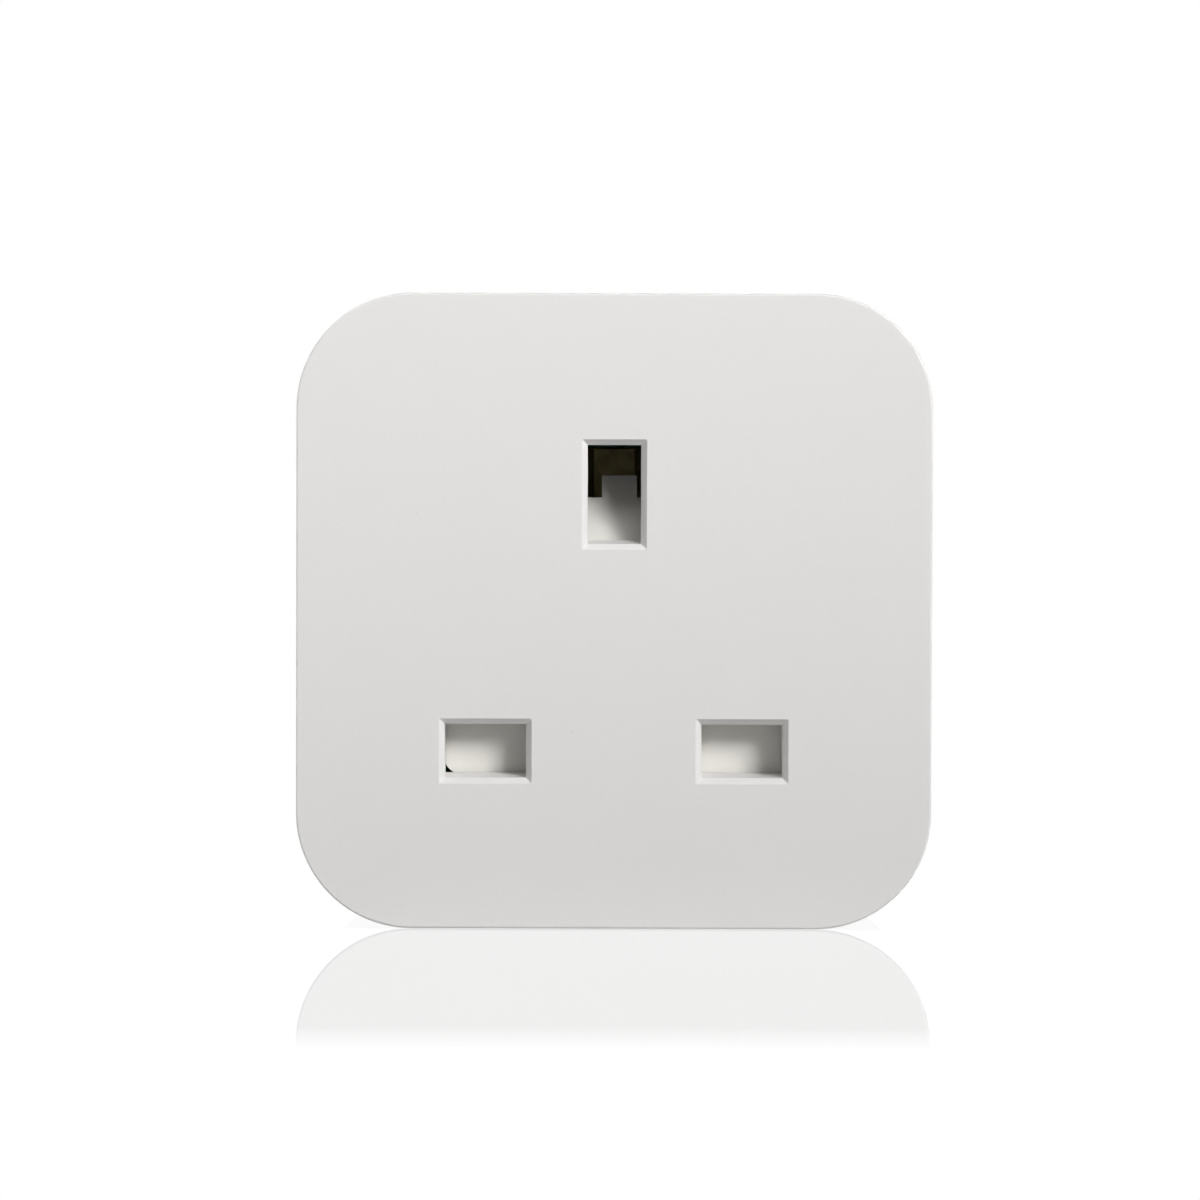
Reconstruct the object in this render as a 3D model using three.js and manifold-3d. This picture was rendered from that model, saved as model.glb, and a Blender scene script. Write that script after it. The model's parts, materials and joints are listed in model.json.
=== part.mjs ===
// Plug-in power meter with a British three-pin socket on its front and the matching pins on its rear.
// Millimetres, +Z up. The front face looks towards -Y, the rear face lies in the plane y = 0 and the pins
// point along +Y. The origin is the centre of the rear face.
import * as THREE from "three";
import { mergeVertices } from "three/addons/utils/BufferGeometryUtils.js";
import { ConvexGeometry } from "three/addons/geometries/ConvexGeometry.js";
import Module from "manifold-3d";

const wasm = await Module();
wasm.setup();

// ---------- driving dimensions ----------

const SIZE = 55; // width and height of the case
const CORNER = 10; // radius of its four long corners
const DEPTH = 38; // front face to rear face
const WALL = 2.2; // side walls
const FACE = 2.4; // front wall
const PLATE = 2.8; // rear wall, thicker because it holds the pins
const FRONT_EDGE = 0.3; // rounding round the front face
const REAR_EDGE = 1.2; // rounding round the rear face
const FRONT = -DEPTH;
const FACE_BACK = FRONT + FACE;
const SPLIT = -9; // plane where the two halves of the case meet
const SHADOW_GAP = 0.3; // groove left between them
const LIP = 1; // thickness of the tongue of the rear half
const LIP_REACH = 2.4; // how far the tongue runs into the front half
const FIT = 0.1; // clearance of one moulded part in another
const EMBED = 0.4; // how far joined shapes run into each other
const CORNER_STEPS = 8; // facets of one long corner

const PIN_SPACING = 22.23; // live to neutral, and earth to the line through both
const LINE_Z = -12.11; // height of live and neutral
const EARTH_Z = LINE_Z + PIN_SPACING;
const LINE_X = PIN_SPACING / 2; // live at +X, neutral at -X
const LINE_PIN = { wide: 6.35, high: 3.97, reach: 17.7 };
const EARTH_PIN = { wide: 3.97, high: 7.95, reach: 22.7 };
const LINE_SLOT = { wide: 7.03, high: 4.64 };
const EARTH_SLOT = { wide: 4.63, high: 8.55 };
const SLOT_BEVEL = 0.5;

const BOSS = { at: 21, r: 3, hole: 1.35, bottom: -20 }; // screw bosses in the four corners
const BOARD = { front: -10.6, rear: -9, half: 24.5, corner: 7 };
const SHUTTER_X = 0.45; // the shutter sits a little to the right of the slots

const WHITE = { color: 0xe6e4e1, roughness: 0.5, metalness: 0 };
const WHITE_INNER = { color: 0xdcdad6, roughness: 0.6, metalness: 0 };
const GREY = { color: 0x8f9296, roughness: 0.6, metalness: 0 };
const BLACK = { color: 0x1d1e20, roughness: 0.5, metalness: 0 };
const BRASS = { color: 0xc9a858, roughness: 0.3, metalness: 1 };
const STEEL = { color: 0xb6b8ba, roughness: 0.35, metalness: 1 };
const COPPER = { color: 0xb06a3c, roughness: 0.4, metalness: 1 };
const GREEN = { color: 0x1f5a3a, roughness: 0.5, metalness: 0 };
const YELLOW = { color: 0xd9b23c, roughness: 0.5, metalness: 0 };
const BLUE = { color: 0x2d5c9c, roughness: 0.5, metalness: 0 };
const AMBER = { color: 0xc79a55, roughness: 0.5, metalness: 0 };
const CLEAR = { color: 0xeef2f4, roughness: 0.15, metalness: 0 };

// ---------- solids ----------

// A closed geometry as a manifold solid.
function solid(geometry) {
  geometry.deleteAttribute("normal");
  geometry.deleteAttribute("uv");
  const merged = mergeVertices(geometry, 1e-4);
  return new wasm.Manifold(
    new wasm.Mesh({
      numProp: 3,
      vertProperties: new Float32Array(merged.attributes.position.array),
      triVerts: new Uint32Array(merged.index.array),
    }),
  );
}

function union(solids) {
  return solids.reduce((sum, each) => sum.add(each));
}

function cut(body, tools) {
  return tools.reduce((left, tool) => left.subtract(tool), body);
}

// A block between [low, high] pairs along X, Y and Z.
function block(x, y, z) {
  const box = new THREE.BoxGeometry(x[1] - x[0], y[1] - y[0], z[1] - z[0]);
  return solid(box.translate((x[0] + x[1]) / 2, (y[0] + y[1]) / 2, (z[0] + z[1]) / 2));
}

// The [low, high] pair of a given width about a centre.
function about(centre, width) {
  return [centre - width / 2, centre + width / 2];
}

// A round bar along an axis between two values of it. at holds its place on the other two axes.
function bar(axis, r, span, at, sides = 16) {
  const rod = new THREE.CylinderGeometry(r, r, span[1] - span[0], sides);
  const middle = (span[0] + span[1]) / 2;
  if (axis === "x") return solid(rod.rotateZ(-Math.PI / 2).translate(middle, at[0], at[1]));
  if (axis === "y") return solid(rod.translate(at[0], middle, at[1]));
  return solid(rod.rotateX(Math.PI / 2).translate(at[0], at[1], middle));
}

// An outline in the XZ plane, extruded from y[0] to y[1].
function plateXZ(shape, y, steps = 12) {
  const depth = y[1] - y[0];
  const made = new THREE.ExtrudeGeometry(shape, { depth, bevelEnabled: false, curveSegments: steps });
  return solid(made.rotateX(Math.PI / 2).translate(0, y[1], 0));
}

// An outline in the YZ plane, extruded from x[0] to x[1].
function plateYZ(shape, x, steps = 12) {
  const depth = x[1] - x[0];
  const made = new THREE.ExtrudeGeometry(shape, { depth, bevelEnabled: false, curveSegments: steps });
  return solid(made.rotateY(Math.PI / 2).rotateX(Math.PI / 2).translate(x[0], 0, 0));
}

// An outline in the XY plane, extruded from z[0] to z[1].
function plateXY(shape, z, steps = 12) {
  const depth = z[1] - z[0];
  const made = new THREE.ExtrudeGeometry(shape, { depth, bevelEnabled: false, curveSegments: steps });
  return solid(made.translate(0, 0, z[0]));
}

// A rectangle with round corners about (x, y).
function roundRect(wide, high, r, x = 0, y = 0) {
  const [left, right] = about(x, wide);
  const [low, top] = about(y, high);
  const shape = new THREE.Shape();
  shape.absarc(right - r, top - r, r, 0, Math.PI / 2);
  shape.absarc(left + r, top - r, r, Math.PI / 2, Math.PI);
  shape.absarc(left + r, low + r, r, Math.PI, 1.5 * Math.PI);
  shape.absarc(right - r, low + r, r, 1.5 * Math.PI, 2 * Math.PI);
  return shape;
}

function polygon(points) {
  return new THREE.Shape(points.map(([u, v]) => new THREE.Vector2(u, v)));
}

// The outline of a bent strip of even thickness whose middle follows the points.
function strip(points, thickness) {
  const at = points.map(([u, v]) => new THREE.Vector2(u, v));
  const side = (sign) =>
    at.map((p, i) => {
      const before = p.clone().sub(at[Math.max(i - 1, 0)]).normalize();
      const after = at[Math.min(i + 1, at.length - 1)].clone().sub(p).normalize();
      const along = before.clone().add(after).normalize();
      const reach = i > 0 && i < at.length - 1 ? 1 / along.dot(after) : 1;
      const across = new THREE.Vector2(-along.y, along.x);
      return across.multiplyScalar((sign * reach * thickness) / 2).add(p);
    });
  return new THREE.Shape([...side(1), ...side(-1).reverse()]);
}

// The convex body round two rectangles, each {x, y, z} with pairs for x and z.
function taper(near, far) {
  const corners = [near, far].flatMap(({ x, y, z }) =>
    x.flatMap((u) => z.map((w) => new THREE.Vector3(u, y, w))),
  );
  return solid(new ConvexGeometry(corners));
}

// A square slab with the case's round corners. round is the rounding of its edge at y[0] (negative) or y[1].
function caseSlab(inset, y, round = 0) {
  const wide = SIZE - 2 * inset;
  const outline = roundRect(wide, wide, CORNER - inset);
  if (!round) return plateXZ(outline, y, CORNER_STEPS);
  const size = Math.abs(round);
  const made = new THREE.ExtrudeGeometry(outline, {
    depth: y[1] - y[0],
    bevelThickness: size,
    bevelSize: size,
    bevelOffset: -size,
    bevelSegments: 2,
    curveSegments: CORNER_STEPS,
  });
  // One end of the bevelled bar is its edge at the slab, and the other end is cut away.
  const shift = round < 0 ? size : -size;
  const bevelled = solid(made.rotateX(Math.PI / 2).translate(0, y[1] + shift, 0));
  return bevelled.intersect(block([-SIZE, SIZE], y, [-SIZE, SIZE]));
}

const group = new THREE.Group();

// Adds a solid to the object as a named mesh.
function add(name, body, look) {
  const { numProp, vertProperties, triVerts } = body.getMesh();
  const geometry = new THREE.BufferGeometry();
  const position = new Float32Array((vertProperties.length / numProp) * 3);
  for (let i = 0; i < position.length; i += 3)
    position.set(vertProperties.subarray((i / 3) * numProp, (i / 3) * numProp + 3), i);
  geometry.setAttribute("position", new THREE.BufferAttribute(position, 3));
  geometry.setIndex(new THREE.BufferAttribute(triVerts, 1));
  geometry.computeVertexNormals();
  const mesh = new THREE.Mesh(geometry, new THREE.MeshStandardMaterial(look));
  mesh.name = name;
  group.add(mesh);
}

const SIDES = [-1, 1];
const CORNERS = SIDES.flatMap((a) => SIDES.map((b) => [a * BOSS.at, b * BOSS.at]));

// The three pin positions, each with its pin and slot.
const POLES = [
  { name: "neutral", x: -LINE_X, z: LINE_Z, pin: LINE_PIN, slot: LINE_SLOT, turned: false },
  { name: "live", x: LINE_X, z: LINE_Z, pin: LINE_PIN, slot: LINE_SLOT, turned: false },
  { name: "earth", x: 0, z: EARTH_Z, pin: EARTH_PIN, slot: EARTH_SLOT, turned: true },
];
const LINE_POLES = POLES.filter((pole) => !pole.turned);

// ---------- front housing ----------

const COLLAR = { wall: 0.9, end: -34.2, draft: 0.25 };
const BOSS_END = -12; // the bosses stop short of the columns of the rear half
const POST = { x: 17, z: 3, r: 2.25, hole: 1.1, bottom: -35, end: -31.6 }; // posts for the socket carrier
const BUTTON = { y: -22, long: 12, wide: 5, clearance: 0.2 };
const LIGHT = { x: 10.5, y: -22, r: 1.1, clearance: 0.1 };
const RAIL = { x: 16.3, wall: 1, lip: 1, low: 16.9, bottom: 17.6, top: 19, high: 19.8, end: -15 };
const TOP_IN = SIZE / 2 - WALL; // inner face of the top wall

function stadium(long, wide, x, y) {
  return roundRect(long, wide, wide / 2 - 0.001, x, y);
}

// A slot through the face: a bevelled mouth, and a floor that rises slightly towards the inside.
function slotCut({ x, z, slot, turned }) {
  const mouth = 0.1; // the cut starts this far in front of the face
  const behind = mouth + (turned ? FACE_BACK : COLLAR.end);
  const [low, top] = about(z, slot.high);
  const wide = about(x, slot.wide);
  const flare = SLOT_BEVEL + mouth;
  const bevel = taper(
    { x: about(x, slot.wide + 2 * flare), y: FRONT - mouth, z: about(z, slot.high + 2 * flare) },
    { x: wide, y: FRONT + SLOT_BEVEL, z: [low, top] },
  );
  const hole = taper(
    { x: wide, y: FRONT + SLOT_BEVEL, z: [low, top] },
    { x: wide, y: behind, z: [low + COLLAR.draft, top] },
  );
  return bevel.add(hole);
}

// The collar round a line slot. The earth slot has none, to leave room for the head of the shutter.
function slotCollar({ x, z, slot }) {
  const grow = 2 * COLLAR.wall;
  return block(about(x, slot.wide + grow), [FACE_BACK - EMBED, COLLAR.end], about(z, slot.high + grow));
}

// The hanging rail that holds one edge of the control board.
function boardRail(side) {
  const outer = RAIL.x + RAIL.wall;
  const y = [FACE_BACK - EMBED, RAIL.end];
  const span = (from, to) => (side > 0 ? [from, to] : [-to, -from]);
  return union([
    block(span(RAIL.x, outer), y, [RAIL.low, TOP_IN + EMBED]),
    block(span(RAIL.x - RAIL.lip, outer), y, [RAIL.low, RAIL.bottom]),
    block(span(RAIL.x - RAIL.lip, outer), y, [RAIL.top, RAIL.high]),
  ]);
}

function frontHousing() {
  const shell = cut(caseSlab(0, [FRONT, SPLIT], -FRONT_EDGE), [
    caseSlab(WALL, [FACE_BACK, SPLIT + 1]),
    caseSlab(WALL - LIP - FIT, [SPLIT - LIP_REACH - 2 * FIT, SPLIT + 1]),
  ]);
  const start = FACE_BACK - EMBED;
  const bosses = CORNERS.map((at) => bar("y", BOSS.r, [start, BOSS_END], at, 14));
  const posts = SIDES.map((s) => bar("y", POST.r, [start, POST.end], [s * POST.x, POST.z], 12));
  const whole = union([shell, ...bosses, ...posts, ...LINE_POLES.map(slotCollar), ...SIDES.map(boardRail)]);
  const through = [TOP_IN - 1, SIZE / 2 + 1];
  const grow = 2 * BUTTON.clearance;
  return cut(whole, [
    ...POLES.map(slotCut),
    ...CORNERS.map((at) => bar("y", BOSS.hole, [BOSS.bottom, BOSS_END + 1], at, 10)),
    ...SIDES.map((s) => bar("y", POST.hole, [POST.bottom, POST.end + 1], [s * POST.x, POST.z], 10)),
    plateXY(stadium(BUTTON.long + grow, BUTTON.wide + grow, 0, BUTTON.y), through, 6),
    bar("z", LIGHT.r + LIGHT.clearance, through, [LIGHT.x, LIGHT.y], 14),
  ]);
}

// ---------- rear housing ----------

const REAR_START = SPLIT + SHADOW_GAP;
const COLUMN = { r: 3, end: -11.5, hole: 1.4 };
const HEAD = { r: 2.3, deep: 1.6, pocket: 2.2, pocketR: 2.5 };
const CLAMP = { front: -6.3, rear: -4.8, post: 2.2, hole: 0.95, bottom: -2, screws: [LINE_Z, 0.6] };
const PIN_HOLE = 0.05; // clearance round a pin in the rear wall
const SUPPORT = { x: 22.5, z: 3, r: 1.6 };

function rearHousing() {
  const shell = cut(caseSlab(0, [REAR_START, 0], REAR_EDGE), [caseSlab(WALL, [REAR_START - 1, -PLATE])]);
  const tongue = cut(caseSlab(WALL - LIP, [SPLIT - LIP_REACH, REAR_START + EMBED]), [
    caseSlab(WALL, [SPLIT - LIP_REACH - 1, REAR_START + 1]),
  ]);
  const root = -PLATE + EMBED;
  const columns = CORNERS.map((at) => bar("y", COLUMN.r, [COLUMN.end, root], at, 14));
  const posts = CLAMP.screws.map((z) => bar("y", CLAMP.post, [CLAMP.rear, root], [0, z], 12));
  const supports = SIDES.map((s) => bar("y", SUPPORT.r, [BOARD.rear, root], [s * SUPPORT.x, SUPPORT.z], 12));
  const pinHoles = POLES.map(({ x, z, pin }) => {
    const grow = 2 * PIN_HOLE;
    return block(about(x, pin.wide + grow), [-PLATE - 1, 1], about(z, pin.high + grow));
  });
  return cut(union([shell, tongue, ...columns, ...posts, ...supports]), [
    ...pinHoles,
    ...CORNERS.map((at) => bar("y", COLUMN.hole, [COLUMN.end - 1, 1], at, 10)),
    ...CORNERS.map((at) => bar("y", HEAD.pocketR, [-HEAD.pocket, 1], at, 16)),
    ...CLAMP.screws.map((z) => bar("y", CLAMP.hole, [CLAMP.rear - 1, CLAMP.bottom], [0, z], 8)),
  ]);
}

// ---------- screws ----------

// A screw along Y whose head's bearing face is at y = seat. out is the side of the head: 1 rear, -1 front.
function screw([x, z], seat, out, head, shaft) {
  const far = seat + out * head.deep;
  const recess = 0.7;
  const cross = { long: head.r, wide: 0.6 };
  const span = [far - out * recess, far + out].sort((a, b) => a - b);
  return cut(
    bar("y", head.r, [Math.min(seat, far), Math.max(seat, far)], [x, z], 14).add(
      bar("y", shaft.r, [seat - out * shaft.long, seat].sort((a, b) => a - b), [x, z], 8),
    ),
    [
      block(about(x, cross.long), span, about(z, cross.wide)),
      block(about(x, cross.wide), span, about(z, cross.long)),
    ],
  );
}

function addScrews() {
  CORNERS.forEach((at, i) => {
    add(`case_screw_${i + 1}`, screw(at, -HEAD.pocket, 1, HEAD, { r: 1.2, long: 16.6 }), STEEL);
  });
  const small = { r: 1.8, deep: 1.3 };
  SIDES.forEach((s, i) => {
    const at = [s * POST.x, POST.z];
    const name = ["carrier_screw_left", "carrier_screw_right"][i];
    add(name, screw(at, CARRIER.rear, 1, small, { r: 0.9, long: 4.2 }), STEEL);
  });
  CLAMP.screws.forEach((z, i) => {
    const name = ["clamp_screw_lower", "clamp_screw_upper"][i];
    add(name, screw([0, z], CLAMP.front, -1, small, { r: 0.8, long: 4 }), STEEL);
  });
}

// ---------- pins ----------

const SLEEVE = { wall: 0.4, end: 9.2 };
const FLANGE = 1.125; // how far a pin's flange stands out on each side
const TIP = { long: 1.6, in: 0.9 };
const TAIL = { wide: 2.4, thick: 1.2, from: 0.6, end: -12.2 }; // soldered to the board beside the pin's middle

// The bevelled end of a pin.
function pinTip(x, z, { wide, high, reach }) {
  return taper(
    { x: about(x, wide), y: reach - TIP.long, z: about(z, high) },
    { x: about(x, wide - 2 * TIP.in), y: reach, z: about(z, high - 2 * TIP.in) },
  );
}

// The rectangle of a solder tail on one side of a pole's centre.
function tailSection({ x, z, turned }, side, wide, thick) {
  const long = side > 0 ? [TAIL.from, TAIL.from + wide] : [-TAIL.from - wide, -TAIL.from];
  const along = (centre) => long.map((value) => value + centre);
  return turned ? { x: about(x, thick), z: along(z) } : { x: along(x), z: about(z, thick) };
}

function pinBody(pole, sleeved) {
  const { x, z, pin } = pole;
  const inset = sleeved ? 2 * SLEEVE.wall : 0;
  const tail = tailSection(pole, -1, TAIL.wide, TAIL.thick);
  const shoulder = sleeved ? SLEEVE.end : CLAMP.rear;
  const grow = 2 * FLANGE;
  const parts = [
    block(about(x, pin.wide + grow), [CLAMP.rear, -PLATE], about(z, pin.high + grow)),
    block(about(x, pin.wide), [shoulder, pin.reach - TIP.long], about(z, pin.high)),
    pinTip(x, z, pin),
    block(tail.x, [TAIL.end, CLAMP.rear + EMBED], tail.z),
  ];
  if (sleeved) {
    const core = [CLAMP.rear, SLEEVE.end + EMBED];
    parts.push(block(about(x, pin.wide - inset), core, about(z, pin.high - inset)));
  }
  return union(parts);
}

function pinSleeve({ x, z, pin }) {
  const inset = 2 * SLEEVE.wall;
  const y = [-PLATE, SLEEVE.end];
  return cut(block(about(x, pin.wide), y, about(z, pin.high)), [
    block(about(x, pin.wide - inset), [y[0] - 1, y[1] + 1], about(z, pin.high - inset)),
  ]);
}

// The insulating plate that holds the three flanges against the rear wall.
function pinClamp() {
  const y = [CLAMP.front, CLAMP.rear];
  const body = union([
    block([-16, 16], y, about(LINE_Z, 8)),
    block([-4.6, 4.6], y, [LINE_Z, EARTH_Z + 5.6]),
  ]);
  const windows = POLES.map((pole) => {
    const { x, z } = tailSection(pole, -1, TAIL.wide, TAIL.thick);
    const wider = ([low, high]) => [low - 0.2, high + 0.2];
    return block(wider(x), [y[0] - 1, y[1] + 1], wider(z));
  });
  const holes = CLAMP.screws.map((z) => bar("y", 1.3, [y[0] - 1, y[1] + 1], [0, z]));
  return cut(body, [...windows, ...holes]);
}

function addPins() {
  for (const pole of POLES) add(`${pole.name}_pin`, pinBody(pole, !pole.turned), BRASS);
  for (const pole of LINE_POLES) add(`${pole.name}_pin_sleeve`, pinSleeve(pole), BLACK);
  add("pin_clamp", pinClamp(), WHITE_INNER);
}

// ---------- socket contacts ----------

const SHEET = 0.8; // thickness of the contact metal
const LINE_CONTACT = {
  wide: 6,
  path: [[-29.5, 3], [-26, 2.2], [-22, 3.1], [-17.5, 3.1]],
};
const EARTH_CONTACT = {
  wide: 7.5,
  path: [[-27, 3], [-23.5, 2.2], [-19.5, 3.1], [-14.4, 3.1]],
};
const CONTACT_TAIL_END = -8.8;

// A spring contact of one bent strip: two leaves that pinch the pin, joined behind it, with a solder tail.
function contact(pole, { wide, path }) {
  const { x, z, turned } = pole;
  const mirrored = path.map(([y, off]) => [y, -off]).reverse();
  const base = path[path.length - 1][0];
  const tail = tailSection(pole, 1, TAIL.wide, SHEET);
  const tailBar = block(tail.x, [base, CONTACT_TAIL_END], tail.z);
  if (turned) {
    const outline = strip([...path, ...mirrored].map(([y, off]) => [x + off, y]), SHEET);
    return plateXY(outline, about(z, wide)).add(tailBar);
  }
  const outline = strip([...path, ...mirrored].map(([y, off]) => [y, z + off]), SHEET);
  return plateYZ(outline, about(x, wide)).add(tailBar);
}

function addContacts() {
  for (const pole of LINE_POLES) add(`${pole.name}_contact`, contact(pole, LINE_CONTACT), BRASS);
  add("earth_contact", contact(POLES[2], EARTH_CONTACT), BRASS);
}

// ---------- shutter, its spring and the carrier ----------

const CARRIER = { front: -31.6, rear: -30.2 };
const SHUTTER = { front: -33.9, rear: -32.1, wingLow: -14.35, wingTop: -9.2, half: 15.25, corner: 1.55 };
const RAMP = { front: -34.8, tipFront: -30, tipRear: -29.2, half: 2.8, tongue: 1.53 };
const RAMP_Z = { base: 4, low: 5.9, shoulder: 9.73, top: 11.65, under: 9 };
const LUG = { half: 1.9, z: [-8.2, -6.6], rear: -27.6 };
const SPRING = { y: -29.4, low: -20.7, top: -8.3, r: 1.5, wire: 0.2, turns: 9 };
const PEG = 0.9;

// The sloping head that an earth pin pushes down, with a narrow tongue between two lower shoulders.
function rampHead() {
  const slope = polygon([
    [RAMP.front, RAMP_Z.base],
    [RAMP.front, RAMP_Z.low],
    [RAMP.tipFront, RAMP_Z.top],
    [RAMP.tipRear, RAMP_Z.top],
    [RAMP.tipRear, RAMP_Z.under],
    [SHUTTER.rear, RAMP_Z.base + 0.2],
    [SHUTTER.rear, RAMP_Z.base],
  ]);
  const body = plateYZ(slope, about(SHUTTER_X, 2 * RAMP.half));
  const notches = SIDES.map((s) => {
    const inner = SHUTTER_X + s * RAMP.tongue;
    const outer = SHUTTER_X + s * (RAMP.half + 1);
    const x = [Math.min(inner, outer), Math.max(inner, outer)];
    return block(x, [RAMP.front, RAMP.tipRear + 1], [RAMP_Z.shoulder, RAMP_Z.top + 1]);
  });
  return cut(body, notches);
}

function shutter() {
  const y = [SHUTTER.front, SHUTTER.rear];
  const left = SHUTTER_X - SHUTTER.half;
  const right = SHUTTER_X + SHUTTER.half;
  const r = SHUTTER.corner;
  const wings = new THREE.Shape();
  wings.moveTo(right, SHUTTER.wingTop);
  wings.lineTo(left, SHUTTER.wingTop);
  wings.absarc(left + r, SHUTTER.wingLow + r, r, Math.PI, 1.5 * Math.PI);
  wings.absarc(right - r, SHUTTER.wingLow + r, r, 1.5 * Math.PI, 2 * Math.PI);
  return union([
    plateXZ(wings, y, 6),
    block(about(SHUTTER_X, 4.9), y, [SHUTTER.wingTop - 1, RAMP_Z.base + 0.1]),
    rampHead(),
    block(about(SHUTTER_X, 2 * LUG.half), [SHUTTER.rear - 0.5, LUG.rear], LUG.z),
    bar("z", PEG, [LUG.z[0] - 1.6, LUG.z[0] + 0.2], [SHUTTER_X, SPRING.y]),
  ]);
}

// A round-wire compression spring along Z.
function coilSpring({ y, low, top, r, wire, turns }, x) {
  const curve = new THREE.Curve();
  curve.getPoint = (t) => {
    const angle = 2 * Math.PI * turns * t;
    const rise = low + wire + t * (top - low - 2 * wire);
    return new THREE.Vector3(x + r * Math.cos(angle), y + r * Math.sin(angle), rise);
  };
  const section = new THREE.Shape().absarc(0, 0, wire, 0, 2 * Math.PI);
  const made = new THREE.ExtrudeGeometry(section, {
    steps: turns * 8,
    curveSegments: 5,
    extrudePath: curve,
  });
  return solid(made);
}

const CHAMBER = { wide: 8, high: 8.2, wall: 1, end: -17 };
const EARTH_CHAMBER = { half: 4.1, wall: 0.9, z: [5.6, 14.6], end: -13.9, floorStart: -27.1 };
const CARRIER_PLATE = { half: 19.5, lowHalf: 17.4, top: 16.5, step: -17.4, low: -22.6 };
const EARTH_WINDOW = { half: 3.1, low: -1.6, top: 14.9 };
const SPRING_SLOT = { half: 2.3, z: [-20.8, -5.5] };
const SHUTTER_RAIL = { in: 15.5, wall: 1, front: -34, z: [-22, -8.1] };
const STOP = { in: 11.5, out: 15.5, z: [-8.9, -8.1] };

// The open-ended tube round one line contact.
function lineChamber({ x, z }) {
  const grow = 2 * CHAMBER.wall;
  const y = [CARRIER.rear - EMBED, CHAMBER.end];
  return block(about(x, CHAMBER.wide + grow), y, about(z, CHAMBER.high + grow));
}

// The earth contact's tube, whose floor starts behind the shutter's path.
function earthChamber() {
  const { half, wall, z, end, floorStart } = EARTH_CHAMBER;
  const y = [CARRIER.rear - EMBED, end];
  const outer = block([-half - wall, half + wall], y, [z[0] - wall, z[1] + wall]);
  return cut(outer, [
    block([-half, half], [CARRIER.rear - 1, end + 1], z),
    block([-half, half], [CARRIER.rear - 1, floorStart], [z[0] - wall - 1, z[1]]),
  ]);
}

function carrierPlate() {
  const y = [CARRIER.front, CARRIER.rear];
  const { half, lowHalf, top, step, low } = CARRIER_PLATE;
  return union([block([-half, half], y, [step, top]), block([-lowHalf, lowHalf], y, [low, step + EMBED])]);
}

// A guide beside the shutter with the stop that it rests against.
function shutterGuide(side) {
  const span = (from, to) => [from, to].map((v) => SHUTTER_X + side * v).sort((a, b) => a - b);
  const y = [SHUTTER_RAIL.front, CARRIER.front + EMBED];
  return union([
    block(span(SHUTTER_RAIL.in, SHUTTER_RAIL.in + SHUTTER_RAIL.wall), y, SHUTTER_RAIL.z),
    block(span(STOP.in, STOP.out + EMBED), y, STOP.z),
  ]);
}

function socketCarrier() {
  const y = [CARRIER.front - 1, CARRIER.rear + 1];
  const ledge = { z: [-22, -20.8], half: 3, rear: -27.2 };
  const whole = union([
    carrierPlate(),
    ...LINE_POLES.map(lineChamber),
    ...SIDES.map(shutterGuide),
    block(about(SHUTTER_X, 2 * ledge.half), [CARRIER.rear - EMBED, ledge.rear], ledge.z),
  ]);
  const opened = cut(whole, [
    ...LINE_POLES.map(({ x, z }) =>
      block(about(x, CHAMBER.wide), [CARRIER.front - 1, CHAMBER.end + 1], about(z, CHAMBER.high)),
    ),
    block(about(SHUTTER_X, 2 * EARTH_WINDOW.half), y, [EARTH_WINDOW.low, EARTH_WINDOW.top]),
    block(about(SHUTTER_X, 2 * SPRING_SLOT.half), y, SPRING_SLOT.z),
    ...SIDES.map((s) => bar("y", 1.2, y, [s * POST.x, POST.z])),
  ]);
  const peg = bar("z", PEG, [ledge.z[1] - 0.5, ledge.z[1] + 2], [SHUTTER_X, SPRING.y]);
  return union([opened, earthChamber(), peg]);
}

function addSocket() {
  add("socket_carrier", socketCarrier(), WHITE_INNER);
  add("shutter", shutter(), WHITE);
  add("shutter_spring", coilSpring(SPRING, SHUTTER_X), STEEL);
}

// ---------- power board ----------

const LEAD = { r: 0.35, hole: 0.6, end: -8.6 };
const SEAT = BOARD.front - 0.3; // parts stand this far off the board

// Places of the round leads through the board, by part.
const LEADS = {
  relay_base: [[-20.5, -2], [-14.5, -2], [-20.5, 14], [-14.5, 14], [-17.5, 8]],
  film_capacitor: [[21.5, -2.5], [21.5, 7.5]],
  bulk_capacitor: [[11.2, 12], [13.8, 12]],
  transformer: [[8, -4.4], [16, -4.4], [8, 4.9], [16, 4.9]],
  varistor: [[21.5, 11.3], [21.5, 15.3]],
  choke: [[6.6, -21.2], [11.4, -21.2]],
  fuse_resistor: [[-10.6, -20.8], [-1.4, -20.8]],
  board_header: [[-11.1, 16.4], [-9.3, 16.4], [-7.5, 16.4]],
};

// The leads of one part, from height y through the board.
function leads(part, y = SEAT) {
  return LEADS[part].map((at) => bar("y", LEAD.r, [y, LEAD.end], at, 6));
}

function powerBoard() {
  const wide = 2 * BOARD.half;
  const y = [BOARD.front, BOARD.rear];
  const through = [BOARD.front - 1, BOARD.rear + 1];
  const wider = ([low, high]) => [low - 0.3, high + 0.3];
  const tails = POLES.flatMap((pole) =>
    SIDES.map((side) => {
      const { x, z } = tailSection(pole, side, TAIL.wide, TAIL.thick);
      return block(wider(x), through, wider(z));
    }),
  );
  return cut(plateXZ(roundRect(wide, wide, BOARD.corner), y, 4), [
    ...CORNERS.map((at) => bar("y", COLUMN.r + 0.3, through, at, 14)),
    ...tails,
    ...Object.values(LEADS).flat().map((at) => bar("y", LEAD.hole, through, at, 6)),
  ]);
}

// ---------- relay ----------

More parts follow.
